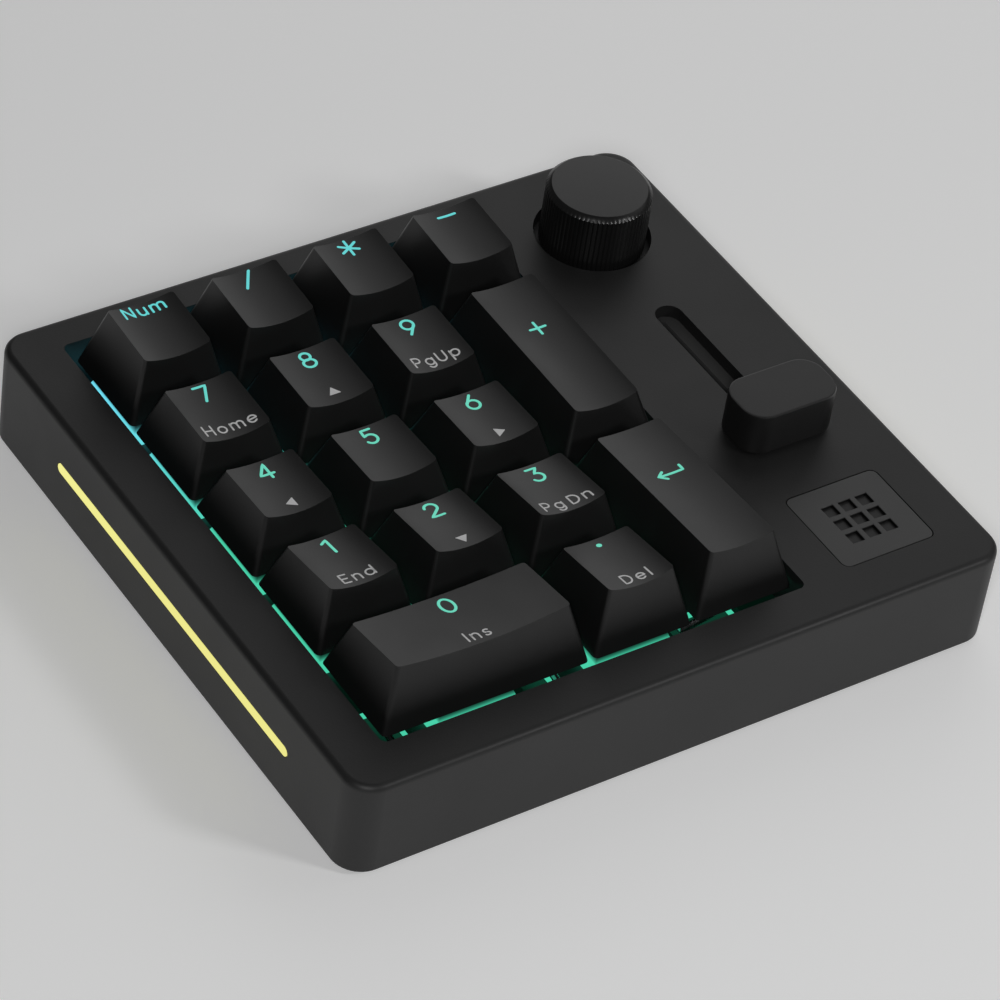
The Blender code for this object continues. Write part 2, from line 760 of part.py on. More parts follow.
def wall_slot_mesh(name, centre, length, height, thickness, along_x=False):
    """A slot with round ends through an upright wall, long along X or Y."""
    mesh = centred_block_mesh(
        name, (0, 0), length, height, -thickness / 2, thickness / 2, height / 2
    )
    mesh.transform(Matrix.Rotation(math.pi / 2, 4, "X"))
    if not along_x:
        mesh.transform(Matrix.Rotation(math.pi / 2, 4, "Z"))
    mesh.transform(Matrix.Translation(centre))
    return mesh


def usb_centre_z():
    return BOARD_TOP + REST_GAP + USB_HEIGHT / 2


def make_case_top():
    case = add_part("case_top", case_block_mesh(), "case_satin_black")
    hollow_x = CASE_WIDTH - 2 * CASE_WALL
    hollow_y = CASE_DEPTH - 2 * CASE_WALL
    hollow_corner = CASE_CORNER - CASE_WALL
    hollow_low = CASE_BOTTOM - OVERLAP
    hollow_top = DECK_TOP - CASE_WALL
    cut(
        case,
        centred_block_mesh(
            "hollow", (0, 0), hollow_x, hollow_y, hollow_low, hollow_top, hollow_corner
        ),
    )
    above = DECK_TOP + OVERLAP
    deck_under = DECK_TOP - CASE_WALL
    join(case, well_outline("well_wall", WELL_WALL, PLATE_TOP + REST_GAP, deck_under + OVERLAP))
    cut(case, well_outline("well", 0.0, PLATE_TOP - OVERLAP, above))
    knob = (KNOB_X, KNOB_Y)
    cup_floor = DECK_TOP - KNOB_WELL_DEPTH
    cup_bottom = cup_floor - KNOB_WELL_WALL
    cup_radius = KNOB_HOLE_RADIUS + KNOB_WELL_WALL
    cup_top = deck_under + OVERLAP
    join(case, cylinder_mesh("knob_cup", knob, cup_radius, cup_bottom, cup_top, KNOB_SEGMENTS))
    cut(case, cylinder_mesh("knob_well", knob, KNOB_HOLE_RADIUS, cup_floor, above, KNOB_SEGMENTS))
    shaft_hole = SHAFT_RADIUS + 2 * REST_GAP
    cut(case, cylinder_mesh("shaft_hole", knob, shaft_hole, cup_bottom - OVERLAP, above))
    slot_length = SLIDER_TRAVEL + BLADE_LENGTH + 2 * SLOT_END_CLEARANCE
    slot_centre = (SLIDER_X, SLIDER_REST_Y + SLIDER_TRAVEL / 2)
    low = deck_under - OVERLAP
    cut(case, slot_mesh("slider_slot", slot_centre, slot_length, SLOT_WIDTH, low, above))
    recess_floor = DECK_TOP - BADGE_THICKNESS - REST_GAP
    width = BADGE_WIDTH + 2 * TRIM_GAP
    depth = BADGE_DEPTH + 2 * TRIM_GAP
    corner = BADGE_CORNER + TRIM_GAP
    cut(
        case,
        centred_block_mesh(
            "badge_recess", BADGE_CENTRE, width, depth, recess_floor, above, corner
        ),
    )
    rebate_x = CASE_WIDTH - 2 * COVER_WALL
    rebate_y = CASE_DEPTH - 2 * COVER_WALL
    ledge = COVER_TOP + REST_GAP
    bosses = [
        cylinder_mesh("boss", place, BOSS_RADIUS, ledge, deck_under + OVERLAP, BOSS_FACETS)
        for place in corners(SCREW_X, SCREW_Y)
    ]
    join(case, joined_mesh("bosses", bosses))
    rebate_corner = CASE_CORNER - COVER_WALL
    cut(
        case,
        centred_block_mesh(
            "cover_rebate", (0, 0), rebate_x, rebate_y, CASE_BOTTOM - OVERLAP, ledge, rebate_corner
        ),
    )
    pilot_radius = SCREW_RADIUS + SLIDE_GAP
    pilot_top = SCREW_TIP + OVERLAP
    pilots = [
        cylinder_mesh("pilot", place, pilot_radius, ledge - OVERLAP, pilot_top, PIN_FACETS)
        for place in corners(SCREW_X, SCREW_Y)
    ]
    cut(case, joined_mesh("screw_pilots", pilots))
    for side, name in ((-1, "left_light_slot"), (1, "right_light_slot")):
        centre = (side * CASE_WIDTH / 2, LIGHT_Y, LIGHT_Z)
        length = LIGHT_LENGTH + 2 * TRIM_GAP
        height = LIGHT_HEIGHT + 2 * TRIM_GAP
        cut(case, wall_slot_mesh(name, centre, length, height, 4 * CASE_WALL))
    mouth = (USB_X, CASE_DEPTH / 2, usb_centre_z())
    mouth_width = USB_WIDTH + 2 * REST_GAP
    mouth_height = USB_HEIGHT + 2 * REST_GAP
    cut(case, wall_slot_mesh("usb_mouth", mouth, mouth_width, mouth_height, 4 * CASE_WALL, True))


def make_case_bottom():
    width = CASE_WIDTH - 2 * (COVER_WALL + REST_GAP)
    depth = CASE_DEPTH - 2 * (COVER_WALL + REST_GAP)
    corner = CASE_CORNER - COVER_WALL - REST_GAP
    cover = add_part(
        "case_bottom",
        centred_block_mesh("cover", (0, 0), width, depth, CASE_BOTTOM, COVER_TOP, corner),
        "case_satin_black",
    )
    board_rest = BOARD_TOP - BOARD_THICKNESS - REST_GAP
    low = COVER_TOP - OVERLAP
    rests = [
        cylinder_mesh("rest", (x, y), BOARD_REST_RADIUS, low, board_rest, PIN_FACETS)
        for x in BOARD_REST_COLUMNS
        for y in BOARD_REST_ROWS
    ]
    join(cover, joined_mesh("board_rests", rests))
    below = CASE_BOTTOM - OVERLAP
    head_top = CASE_BOTTOM + SCREW_HEAD_HEIGHT + REST_GAP
    head_room = SCREW_HEAD_RADIUS + SLIDE_GAP
    places = corners(SCREW_X, SCREW_Y)
    sinks = [
        cylinder_mesh("sink", place, head_room, below, head_top, BOSS_FACETS) for place in places
    ]
    cut(cover, joined_mesh("screw_sinks", sinks))
    room = SCREW_RADIUS + SLIDE_GAP
    holes = [
        cylinder_mesh("hole", place, room, below, COVER_TOP + OVERLAP, PIN_FACETS)
        for place in places
    ]
    cut(cover, joined_mesh("screw_holes", holes))
    recesses = []
    for side in (-1, 1):
        centre = (0.0, side * FOOT_Y, 0.0)
        top = CASE_BOTTOM + FOOT_RECESS
        long = FOOT_LENGTH + 2 * TRIM_GAP
        wide = FOOT_WIDTH + 2 * TRIM_GAP
        recesses.append(
            centred_block_mesh("recess", centre, long, wide, below, top, wide / 2)
        )
    cut(cover, joined_mesh("foot_recesses", recesses))


def make_screws():
    """Flat-headed case screws with a hexagon socket, put in from below."""
    names = ("front_left", "back_left", "front_right", "back_right")
    head_top = SCREW_HEAD_BOTTOM + SCREW_HEAD_HEIGHT
    profile = (
        (0.0, SCREW_TIP),
        (SCREW_RADIUS - SCREW_TAPER, SCREW_TIP),
        (SCREW_RADIUS, SCREW_TIP - SCREW_TAPER),
        (SCREW_RADIUS, head_top),
        (SCREW_HEAD_RADIUS, head_top),
        (SCREW_HEAD_RADIUS, SCREW_HEAD_BOTTOM),
        (0.0, SCREW_HEAD_BOTTOM),
    )
    for name, place in zip(names, corners(SCREW_X, SCREW_Y)):
        screw = add_turned(
            f"case_screw_{name}", profile, "bright_steel", BOSS_FACETS, (*place, 0.0)
        )
        socket_top = SCREW_HEAD_BOTTOM + SCREW_SOCKET_DEPTH
        bottom = SCREW_HEAD_BOTTOM - OVERLAP
        hexagon = cylinder_mesh("hexagon", (0, 0), SCREW_SOCKET_RADIUS, bottom, socket_top, 6)
        cut(screw, hexagon)


def make_feet():
    for side, name in ((-1, "front"), (1, "back")):
        centre = (0.0, side * FOOT_Y, 0.0)
        top = CASE_BOTTOM + FOOT_RECESS - REST_GAP
        mesh = centred_block_mesh(
            f"foot_{name}", (0, 0), FOOT_LENGTH, FOOT_WIDTH, 0.0, top, FOOT_WIDTH / 2
        )
        add_part(f"foot_strip_{name}", mesh, "foot_rubber", centre)


# ---------------------------------------------------------------- board and socket


def make_board():
    width = CASE_WIDTH - 2 * (CASE_WALL + BOARD_MARGIN)
    depth = CASE_DEPTH - 2 * (CASE_WALL + BOARD_MARGIN)
    bottom = BOARD_TOP - BOARD_THICKNESS
    board = add_part(
        "circuit_board",
        centred_block_mesh("board", (0, 0), width, depth, bottom, BOARD_TOP),
        "board_green",
    )
    room = BOSS_RADIUS + 2 * REST_GAP
    notches = [
        cylinder_mesh("notch", place, room, bottom - OVERLAP, BOARD_TOP + OVERLAP)
        for place in corners(SCREW_X, SCREW_Y)
    ]
    cut(board, joined_mesh("boss_notches", notches))
    low = BOARD_TOP - OVERLAP
    bodies = [
        centred_block_mesh("chip", (x, y), wide, deep, low, BOARD_TOP + high)
        for x, y, wide, deep, high in CHIPS
    ]
    join(board, joined_mesh("chips", bodies))


def make_usb_socket():
    """A flat oval metal shell with a contact tongue, its mouth just inside the back face."""
    mouth_y = CASE_DEPTH / 2 - USB_RECESS
    centre = (0.0, -USB_LENGTH / 2, 0.0)
    shell = wall_slot_mesh("usb_shell", centre, USB_WIDTH, USB_HEIGHT, USB_LENGTH, True)
    socket = add_part(
        "usb_socket", shell, "bright_steel", (USB_X, mouth_y, usb_centre_z())
    )
    hollow_length = USB_LENGTH - USB_FLOOR + OVERLAP
    hollow_centre = (0.0, OVERLAP - hollow_length / 2, 0.0)
    hollow_width = USB_WIDTH - 2 * USB_WALL
    hollow_height = USB_HEIGHT - 2 * USB_WALL
    cut(
        socket,
        wall_slot_mesh("hollow", hollow_centre, hollow_width, hollow_height, hollow_length, True),
    )
    half_width = TONGUE_WIDTH / 2
    half_height = TONGUE_THICKNESS / 2
    back = OVERLAP - USB_LENGTH
    low = (-half_width, back, -half_height)
    join(socket, block_mesh("tongue", low, (half_width, -TONGUE_SETBACK, half_height)))


# ---------------------------------------------------------------- knob and encoder


def flat_cutter_mesh(grow, bottom, top):
    """What is cut from a round bar to leave its flat."""
    near = SHAFT_FLAT + grow
    far = SHAFT_RADIUS + grow + OVERLAP
    return block_mesh("flat", (near, -far, bottom), (far, far, top))


def make_encoder():
    board = BOARD_TOP - DECK_TOP + REST_GAP
    centre = (KNOB_X, KNOB_Y)
    body_mesh = centred_block_mesh(
        "encoder_case", (0, 0), ENCODER_SIZE, ENCODER_SIZE, board, ENCODER_TOP, ENCODER_CORNER, 1
    )
    place = (*centre, DECK_TOP)
    body = add_part("encoder_body", body_mesh, "plate_steel", place)
    floor = board + ENCODER_FLOOR
    room = ROTOR_RADIUS + REST_GAP
    cut(body, cylinder_mesh("rotor_room", (0, 0), room, floor, ENCODER_TOP + OVERLAP))
    turn = add_axis("knob_turn", place)
    rotor_bottom = floor + REST_GAP
    rotor_top = ENCODER_TOP - REST_GAP
    rotor_mesh = cylinder_mesh("rotor_disc", (0, 0), ROTOR_RADIUS, rotor_bottom, rotor_top)
    rotor = add_part("encoder_rotor", rotor_mesh, "switch_clear_grey", parent=turn)
    pattern = add_helper("d_bore", shaft_mesh("bore", SLIDE_GAP, board, DECK_TOP))
    bore = evaluated_mesh(pattern)
    cut(rotor, bore)
    press = add_axis("knob_press", (0.0, 0.0, 0.0), turn)
    shaft_bottom = rotor_bottom + 2 * REST_GAP
    bar = shaft_mesh("bar", 0.0, shaft_bottom, SHAFT_TOP)
    add_part("encoder_shaft", bar, "bright_steel", parent=press)
    profile = (
        (0.0, KNOB_TOP),
        (KNOB_RADIUS - KNOB_CHAMFER, KNOB_TOP),
        (KNOB_RADIUS, KNOB_TOP - KNOB_CHAMFER),
        (KNOB_RADIUS, KNOB_BOTTOM),
        (SHAFT_RADIUS + SLIDE_GAP, KNOB_BOTTOM),
        (SHAFT_RADIUS + SLIDE_GAP, SHAFT_TOP + REST_GAP),
        (0.0, SHAFT_TOP + REST_GAP),
    )
    origin = (0.0, 0.0, 0.0)
    add_turned("knob", profile, "knob_black", KNOB_SEGMENTS, origin, press)


def shaft_mesh(name, grow, bottom, top):
    """The encoder's shaft, a round bar with one flat, or the bore for it when grow is its gap."""
    round_bar = cylinder_mesh(name, (0, 0), SHAFT_RADIUS + grow, bottom, top)
    pattern = add_helper(f"shaft_{name}", round_bar)
    cut(pattern, flat_cutter_mesh(grow, bottom - OVERLAP, top + OVERLAP))
    return evaluated_mesh(pattern)


# ---------------------------------------------------------------- slide control


def make_fader():
    board = BOARD_TOP - DECK_TOP + REST_GAP
    middle = SLIDER_TRAVEL / 2
    place = (SLIDER_X, SLIDER_REST_Y, DECK_TOP)
    run = SLIDER_TRAVEL + CARRIAGE_LENGTH + 2 * REST_GAP
    length = run + 2 * FADER_WALL
    body_mesh = centred_block_mesh("fader_case", (0, middle), FADER_WIDTH, length, board, FADER_TOP)
    body = add_part("fader_body", body_mesh, "plate_steel", place)
    channel_width = CARRIAGE_WIDTH + 2 * REST_GAP
    low = CARRIAGE_BOTTOM - REST_GAP
    high = CARRIAGE_TOP + REST_GAP
    cut(body, centred_block_mesh("channel", (0, middle), channel_width, run, low, high))
    slit_width = BLADE_WIDTH + 2 * REST_GAP
    slit_length = SLIDER_TRAVEL + BLADE_LENGTH + 2 * REST_GAP
    above = FADER_TOP + OVERLAP
    cut(body, centred_block_mesh("slit", (0, middle), slit_width, slit_length, low, above))
    slide = add_axis("slider_slide", place)
    carriage = centred_block_mesh(
        "carriage", (0, 0), CARRIAGE_WIDTH, CARRIAGE_LENGTH, CARRIAGE_BOTTOM, CARRIAGE_TOP
    )
    lever = add_part("fader_lever", carriage, "bright_steel", parent=slide)
    foot = CARRIAGE_TOP - OVERLAP
    join(lever, centred_block_mesh("blade", (0, 0), BLADE_WIDTH, BLADE_LENGTH, foot, BLADE_TOP))
    cap_mesh = centred_block_mesh(
        "cap", (0, 0), SLIDER_WIDTH, SLIDER_DEPTH, SLIDER_BOTTOM, SLIDER_TOP, SLIDER_CORNER
    )
    cap = add_part("slider_cap", cap_mesh, "slider_black", parent=slide)
    edge = cap.modifiers.new("edge", "BEVEL")
    edge.width = SLIDER_EDGE
    edge.segments = 2
    edge.limit_method = "ANGLE"
    edge.angle_limit = math.radians(60)
    width = BLADE_WIDTH + 2 * SLIDE_GAP
    depth = BLADE_LENGTH + 2 * SLIDE_GAP
    low = SLIDER_BOTTOM - OVERLAP
    cut(cap, centred_block_mesh("blade_slot", (0, 0), width, depth, low, BLADE_TOP + REST_GAP))


# ---------------------------------------------------------------- trim


def make_badge():
    """A flush plate with a plain mark of nine small squares let into it."""
    plate_mesh = centred_block_mesh(
        "badge", (0, 0), BADGE_WIDTH, BADGE_DEPTH, -BADGE_THICKNESS, 0.0, BADGE_CORNER
    )
    place = BADGE_CENTRE + Vector((0.0, 0.0, DECK_TOP))
    badge = add_part("badge_plate", plate_mesh, "badge_grey", place)
    squares = [
        centred_block_mesh(
            "square", (x * MARK_PITCH, y * MARK_PITCH), MARK_SIZE, MARK_SIZE, -MARK_DEPTH, OVERLAP
        )
        for x in (-1, 0, 1)
        for y in (-1, 0, 1)
    ]
    cut(badge, joined_mesh("mark", squares))


def make_light_bars():
    for side, name in ((-1, "left"), (1, "right")):
        inward = -side * LIGHT_THICKNESS / 2
        mesh = wall_slot_mesh(
            f"light_{name}", (inward, 0.0, 0.0), LIGHT_LENGTH, LIGHT_HEIGHT, LIGHT_THICKNESS
        )
        place = (side * CASE_WIDTH / 2, LIGHT_Y, LIGHT_Z)
        add_part(f"light_bar_{name}", mesh, "light_cream", place)


clear_scene()
PARTS = new_collection("numeric_keypad")
HELPERS = new_collection("cutters")
make_case_top()
make_case_bottom()
make_screws()
make_feet()
make_board()
make_usb_socket()
make_plate()
make_housings()
make_keys()
make_stabilisers()
make_encoder()
make_fader()
make_badge()
make_light_bars()
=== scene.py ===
"""Numeric keypad: the finished look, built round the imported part."""

import math
from collections import namedtuple

import bmesh
import bpy
from mathutils import Matrix, Vector
from mathutils.bvhtree import BVHTree


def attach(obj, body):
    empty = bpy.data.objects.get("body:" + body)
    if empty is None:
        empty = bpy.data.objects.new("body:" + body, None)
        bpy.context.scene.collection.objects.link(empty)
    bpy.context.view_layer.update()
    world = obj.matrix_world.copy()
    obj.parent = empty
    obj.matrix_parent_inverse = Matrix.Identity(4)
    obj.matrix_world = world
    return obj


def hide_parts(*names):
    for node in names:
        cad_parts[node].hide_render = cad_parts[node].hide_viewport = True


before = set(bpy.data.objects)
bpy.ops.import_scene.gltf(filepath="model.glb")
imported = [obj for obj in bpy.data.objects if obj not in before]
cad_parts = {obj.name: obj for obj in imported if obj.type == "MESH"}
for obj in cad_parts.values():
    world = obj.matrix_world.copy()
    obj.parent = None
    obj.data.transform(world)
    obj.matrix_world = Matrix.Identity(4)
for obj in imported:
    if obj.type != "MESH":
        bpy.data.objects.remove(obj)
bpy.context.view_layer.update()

MM = 0.001
MERGE_DISTANCE = 0.002 * MM
SAME_PLACE = 0.01 * MM
SMOOTH_ANGLE = 30  # degrees between faces, under which their edge is shaded round

# Deck, key block and key caps. Heights of a cap are counted from the deck.
DECK_TOP = 19.0 * MM
GRID_CENTRE = Vector((-12.05, 1.35, 0.0)) * MM
KEY_PITCH = 19.05 * MM
KEY_SPACING = 0.95 * MM
SKIRT_DROP = 2.2 * MM
SIDE_LEAN = 3.06 * MM
CAP_CORNER = 0.9 * MM
CAP_CORNER_STEPS = 6
CAP_RIM = 0.32 * MM
CAP_RIM_STEPS = 3
CAP_WALL = 1.3 * MM
CAP_ROOF = 1.5 * MM
CAP_STRIP = 0.9 * MM  # width of the strips that the finger dish is made of
POST_RADIUS = 2.75 * MM
POST_BORE = 2.15 * MM
POST_BOTTOM = -1.6 * MM
POST_FACETS = 20
POST_BORE_DEPTH = 3.9 * MM
POST_REACH = 0.3 * MM  # how far the post runs up into the roof

# How much of a face's normal points up or down, for it to count as a cap's top or underside
TOP_FACES = 0.8
UNDERSIDE_FACES = -0.9

CapShape = namedtuple("CapShape", "wide deep front_y back_y front_z back_z dish")
CAP_SHAPES = {
    "top_row": CapShape(1, 1, -6.55 * MM, 5.83 * MM, 8.68 * MM, 9.42 * MM, 0.95 * MM),
    "upper_row": CapShape(1, 1, -6.33 * MM, 6.32 * MM, 7.01 * MM, 7.29 * MM, 0.95 * MM),
    "middle_row": CapShape(1, 1, -6.14 * MM, 6.29 * MM, 6.94 * MM, 6.37 * MM, 0.95 * MM),
    "lower_row": CapShape(1, 1, -6.02 * MM, 6.70 * MM, 8.13 * MM, 6.15 * MM, 0.95 * MM),
    "bottom_row": CapShape(1, 1, -5.92 * MM, 6.80 * MM, 8.54 * MM, 6.46 * MM, 0.95 * MM),
    "zero": CapShape(2, 1, -5.92 * MM, 6.80 * MM, 8.54 * MM, 6.46 * MM, 1.0 * MM),
    "plus": CapShape(1, 2, -15.6 * MM, 15.9 * MM, 6.94 * MM, 7.2 * MM, 0.9 * MM),
    "enter": CapShape(1, 2, -15.3 * MM, 16.4 * MM, 8.4 * MM, 6.1 * MM, 0.6 * MM),
}

# Name, shape, column and row in key pitches, lit legend, plain legend.
KEYS = (
    ("num_lock", "top_row", -1.5, 2, "Num", ""),
    ("divide", "top_row", -0.5, 2, "/", ""),
    ("multiply", "top_row", 0.5, 2, "*", ""),
    ("minus", "top_row", 1.5, 2, "-", ""),
    ("7", "upper_row", -1.5, 1, "7", "Home"),
    ("8", "upper_row", -0.5, 1, "8", "up"),
    ("9", "upper_row", 0.5, 1, "9", "PgUp"),
    ("plus", "plus", 1.5, 0.5, "+", ""),
    ("4", "middle_row", -1.5, 0, "4", "left"),
    ("5", "middle_row", -0.5, 0, "5", ""),
    ("6", "middle_row", 0.5, 0, "6", "right"),
    ("1", "lower_row", -1.5, -1, "1", "End"),
    ("2", "lower_row", -0.5, -1, "2", "down"),
    ("3", "lower_row", 0.5, -1, "3", "PgDn"),
    ("enter", "enter", 1.5, -1.5, "return", ""),
    ("0", "zero", -1, -2, "0", "Ins"),
    ("decimal", "bottom_row", 0.5, -2, ".", "Del"),
)

# Badge mark: squares sunk into the plate, with painted shade: their walls and floors are painted near
# black as the shade of a deep hole.
# These faces lie between two heights, within a reach of the badge's middle.
BADGE_X = 43.05 * MM
MARK_REACH = 4.6 * MM
MARK_LOW = DECK_TOP - 0.7 * MM
MARK_HIGH = DECK_TOP - 0.15 * MM

# Knob. Its heights are counted from the deck.
KNOB_CENTRE = Vector((43.1, 38.15, 19.0)) * MM
KNOB_RADIUS = 9.0 * MM
KNOB_TOP = 10.1 * MM
KNOB_BOTTOM = -1.6 * MM
KNOB_CHAMFER = 0.85 * MM
CHAMFER_BELLY = 0.35 * MM
TOP_ROUND_WIDTH = 0.12 * MM
TOP_ROUND_DROP = 0.05 * MM
KNOB_FOOT_HEIGHT = 0.5 * MM
KNOB_FOOT_INSET = 0.35 * MM
KNOB_BORE = 3.15 * MM
KNOB_BORE_TOP = 6.3 * MM
KNOB_RIBS = 72
STEPS_PER_RIB = 4
RIB_DEPTH = 0.14 * MM
KNOB_SMOOTH_ANGLE = 25

# Edges softened on the pieces that keep the frame's shape
SHARP_ANGLE = 50
FLAT_ANGLE = 0.5
EDGE_STEPS = 2
SHELL_EDGE = 0.2 * MM
COVER_EDGE = 0.15 * MM
BADGE_EDGE = 0.12 * MM
SOCKET_EDGE = 0.05 * MM



# ---------------------------------------------------------------- materials


def linear(colour):
    """An sRGB hex colour as linear red, green, blue and alpha."""
    channels = [int(colour[start : start + 2], 16) / 255 for start in (1, 3, 5)]
    return (*[c / 12.92 if c <= 0.04045 else ((c + 0.055) / 1.055) ** 2.4 for c in channels], 1.0)


def wire_up(tree, node, **inputs):
    """Sets a node's inputs, each to a value or to the socket that feeds it. An input goes by its
    label, or by an underscore and its number where labels repeat."""
    for name, value in inputs.items():
        socket = node.inputs[int(name[1:]) if name[0] == "_" else name.replace("_", " ")]
        if isinstance(value, bpy.types.NodeSocket):
            tree.links.new(value, socket)
        else:
            socket.default_value = value


def add_node(tree, kind, settings=None, **inputs):
    """A node with its settings and inputs."""
    node = tree.nodes.new(kind)
    for name, value in (settings or {}).items():
        setattr(node, name, value)
    wire_up(tree, node, **inputs)
    return node


def new_material(name):
    """A material, its node tree and its shader."""
    material = bpy.data.materials.new(name)
    material.use_nodes = True
    tree = material.node_tree
    return material, tree, tree.nodes["Principled BSDF"]


def object_place(tree):
    return add_node(tree, "ShaderNodeTexCoord").outputs["Object"]


def noise(tree, place, size_mm, detail):
    """Noise with blotches of about a size in millimetres."""
    scale = 1 / (size_mm * MM)
    blotches = add_node(tree, "ShaderNodeTexNoise", Vector=place, Scale=scale, Detail=detail)
    return blotches.outputs["Fac"]


def remapped(tree, value, source, target):
    """A value taken from one range to another, and held inside it."""
    remap = add_node(
        tree,
        "ShaderNodeMapRange",
        Value=value,
        From_Min=source[0],
        From_Max=source[1],
        To_Min=target[0],
        To_Max=target[1],
    )
    return remap.outputs["Result"]


def mixed(tree, share, first, second):
    """A colour between two, by a share from 0, the first, to 1, the second."""
    mix = add_node(tree, "ShaderNodeMix", {"data_type": "RGBA"}, _0=share, _6=first, _7=second)
    return mix.outputs[2]


NOISE_RANGE = (0.3, 0.7)  # where nearly all of a noise's values lie
CLOUD_SIZE = 18  # in millimetres
CLOUD_DETAIL = 3.0
GRAIN_DETAIL = 2.0
PLASTIC_IOR = 1.5


def moulded_plastic(name, dark, light, roughness, grain_mm, grain_height_mm, smudge=0.05):
    """Injection-moulded plastic: an even colour with a faint cloudiness, a gloss that varies a little,
    and a fine grain. A real grain is finer still, and is drawn coarser so that it shows."""
    material, tree, shader = new_material(name)
    place = object_place(tree)
    clouds = noise(tree, place, CLOUD_SIZE, CLOUD_DETAIL)
    grain = noise(tree, place, grain_mm, GRAIN_DETAIL)
    height = grain_height_mm * MM
    bump = add_node(tree, "ShaderNodeBump", Height=grain, Strength=1.0, Distance=height)
    wire_up(
        tree,
        shader,
        Base_Color=mixed(tree, clouds, linear(dark), linear(light)),
        Roughness=remapped(tree, clouds, NOISE_RANGE, (roughness - smudge, roughness + smudge)),
        Normal=bump.outputs["Normal"],
        IOR=PLASTIC_IOR,
    )
    return material


GLOW_FRONT_Y = 5 * MM
GLOW_BACK_Y = 42 * MM
GLOW_FALL = 3.0
CLEAR_ROUGHNESS = 0.35


def glowing(name, back, front, strength, base, lit_from=None):
    """Translucent plastic lit from inside. Its colour drifts from back to front. Between the two
    heights in lit_from the light dies away upwards, as it does from lamps on a board below."""
    material, tree, shader = new_material(name)
    parts = add_node(tree, "ShaderNodeSeparateXYZ", Vector=object_place(tree))
    drift = remapped(tree, parts.outputs["Y"], (GLOW_FRONT_Y, GLOW_BACK_Y), (0.0, 1.0))
    colour = mixed(tree, drift, linear(front), linear(back))
    if lit_from:
        fade = remapped(tree, parts.outputs["Z"], lit_from, (1.0, 0.0))
        fall = add_node(tree, "ShaderNodeMath", {"operation": "POWER"}, _0=fade, _1=GLOW_FALL)
        colour = mixed(tree, fall.outputs["Value"], linear("#000000"), colour)
    wire_up(
        tree,
        shader,
        Base_Color=linear(base),
        Roughness=CLEAR_ROUGHNESS,
        Emission_Color=colour,
        Emission_Strength=strength,
    )
    return material


SCRATCH_SIZE = 0.2  # in millimetres
SCRATCH_DETAIL = 4.0
SCRATCH_SPREAD = (0.8, 1.25)  # the least and the most roughness, as shares of the mean


def metal(name, colour, roughness):
    """Bare or plated metal with fine directionless scratches."""
    material, tree, shader = new_material(name)
    scratches = noise(tree, object_place(tree), SCRATCH_SIZE, SCRATCH_DETAIL)
    span = [roughness * share for share in SCRATCH_SPREAD]
    gloss = remapped(tree, scratches, NOISE_RANGE, span)
    wire_up(tree, shader, Base_Color=linear(colour), Metallic=1.0, Roughness=gloss)
    return material


def floor_paper(name, colour, brightness):
    """Matt paper that gives off a little light of its own, as if lit from beyond the scene."""
    material, tree, shader = new_material(name)
    wire_up(
        tree,
        shader,
        Base_Color=linear(colour),
        Roughness=0.9,
        Emission_Color=linear("#ffffff"),
        Emission_Strength=brightness,
    )
    return material


# Eroded shell: a soft charcoal black, with wide dull highlights and no mirror.
CASE_ABS = moulded_plastic("eroded_abs_case", "#1c1c1c", "#222222", 0.50, 0.35, 0.012, smudge=0.03)

# Key caps: blacker than the case, with a silky sheen that shows each cap's dish.
CAP_PBT = moulded_plastic("moulded_pbt_keycap", "#161616", "#1c1c1c", 0.38, 0.25, 0.006)

# Knob: the smoothest black, so that its top shows as a clean disc and its ribs glint.
KNOB_BLACK = moulded_plastic("satin_black_knob", "#161616", "#1a1a1a", 0.30, 0.3, 0.003, smudge=0.03)

# Slider cap: a satin black, between the sheen of the key caps and the dullness of the case.
SLIDER_ABS = moulded_plastic("satin_abs_slider", "#191919", "#1f1f1f", 0.40, 0.3, 0.006)

# Badge: a dark grey plate that stands out from the blacker deck round it.
BADGE_FINISH = moulded_plastic("satin_badge_plate", "#3c3c3c", "#414141", 0.42, 0.3, 0.005)

# Fader frame: a dull mid grey, hardly seen down the slot.
FADER_GREY = moulded_plastic("fader_frame_grey", "#4c4c4c", "#5a5a5a", 0.6, 0.4, 0.02)

# Badge mark: painted shade, a near black on the walls and floors of the sunk squares, so that they
# read as deep holes.
MARK_SHADE_PAINT = moulded_plastic("painted_mark_shade", "#050505", "#090909", 0.45, 0.3, 0.003)

# Feet: the dullest black, with no highlight.
RUBBER = moulded_plastic("foot_rubber", "#101010", "#161616", 0.80, 0.4, 0.03)

# Main legends: a lit teal, a little bluer at the back and greener in front.
LIT_LEGEND = glowing("lit_legend_teal", "#62dcdc", "#66dcc0", 0.85, "#203028")

# Second legends: an unlit off-white ink, which dims where its cap is in shade.
WHITE_LEGEND = moulded_plastic("grey_white_legend", "#e6e6e6", "#eeeeee", 0.5, 0.25, 0.002)

# Switch housings: clear, and lit by the board below. The gaps round the caps shine blue at the back
# and green in front, and the light dies away before it reaches the caps.
HOUSING_GLOW = glowing(
    "lit_clear_housing",
    "#70e0f4",
    "#48d0a8",
    1.0,
    "#181818",
    lit_from=(DECK_TOP - 6.1 * MM, DECK_TOP - 4.5 * MM),
)

# Switch plate: nearly black, with a trace of the lamps' colour.
PLATE_GLOW = glowing("lit_switch_plate", "#20b8d0", "#18c090", 0.01, "#0c0c0c")

# Light bars: an even pale yellow line.
BAR_GLOW = glowing("lit_acrylic_bar", "#f6f290", "#efe986", 0.92, "#40401c")

# Switch stems: a slick deep red, hidden by the caps.
STEM_RED = moulded_plastic("pom_stem_red", "#7a1414", "#8a1a1a", 0.35, 0.3, 0.002)

# Wires, screws, shaft and socket: a bright plate, its reflections broken by fine scratches.
STEEL = metal("nickel_plated_steel", "#b8b8ba", 0.28)

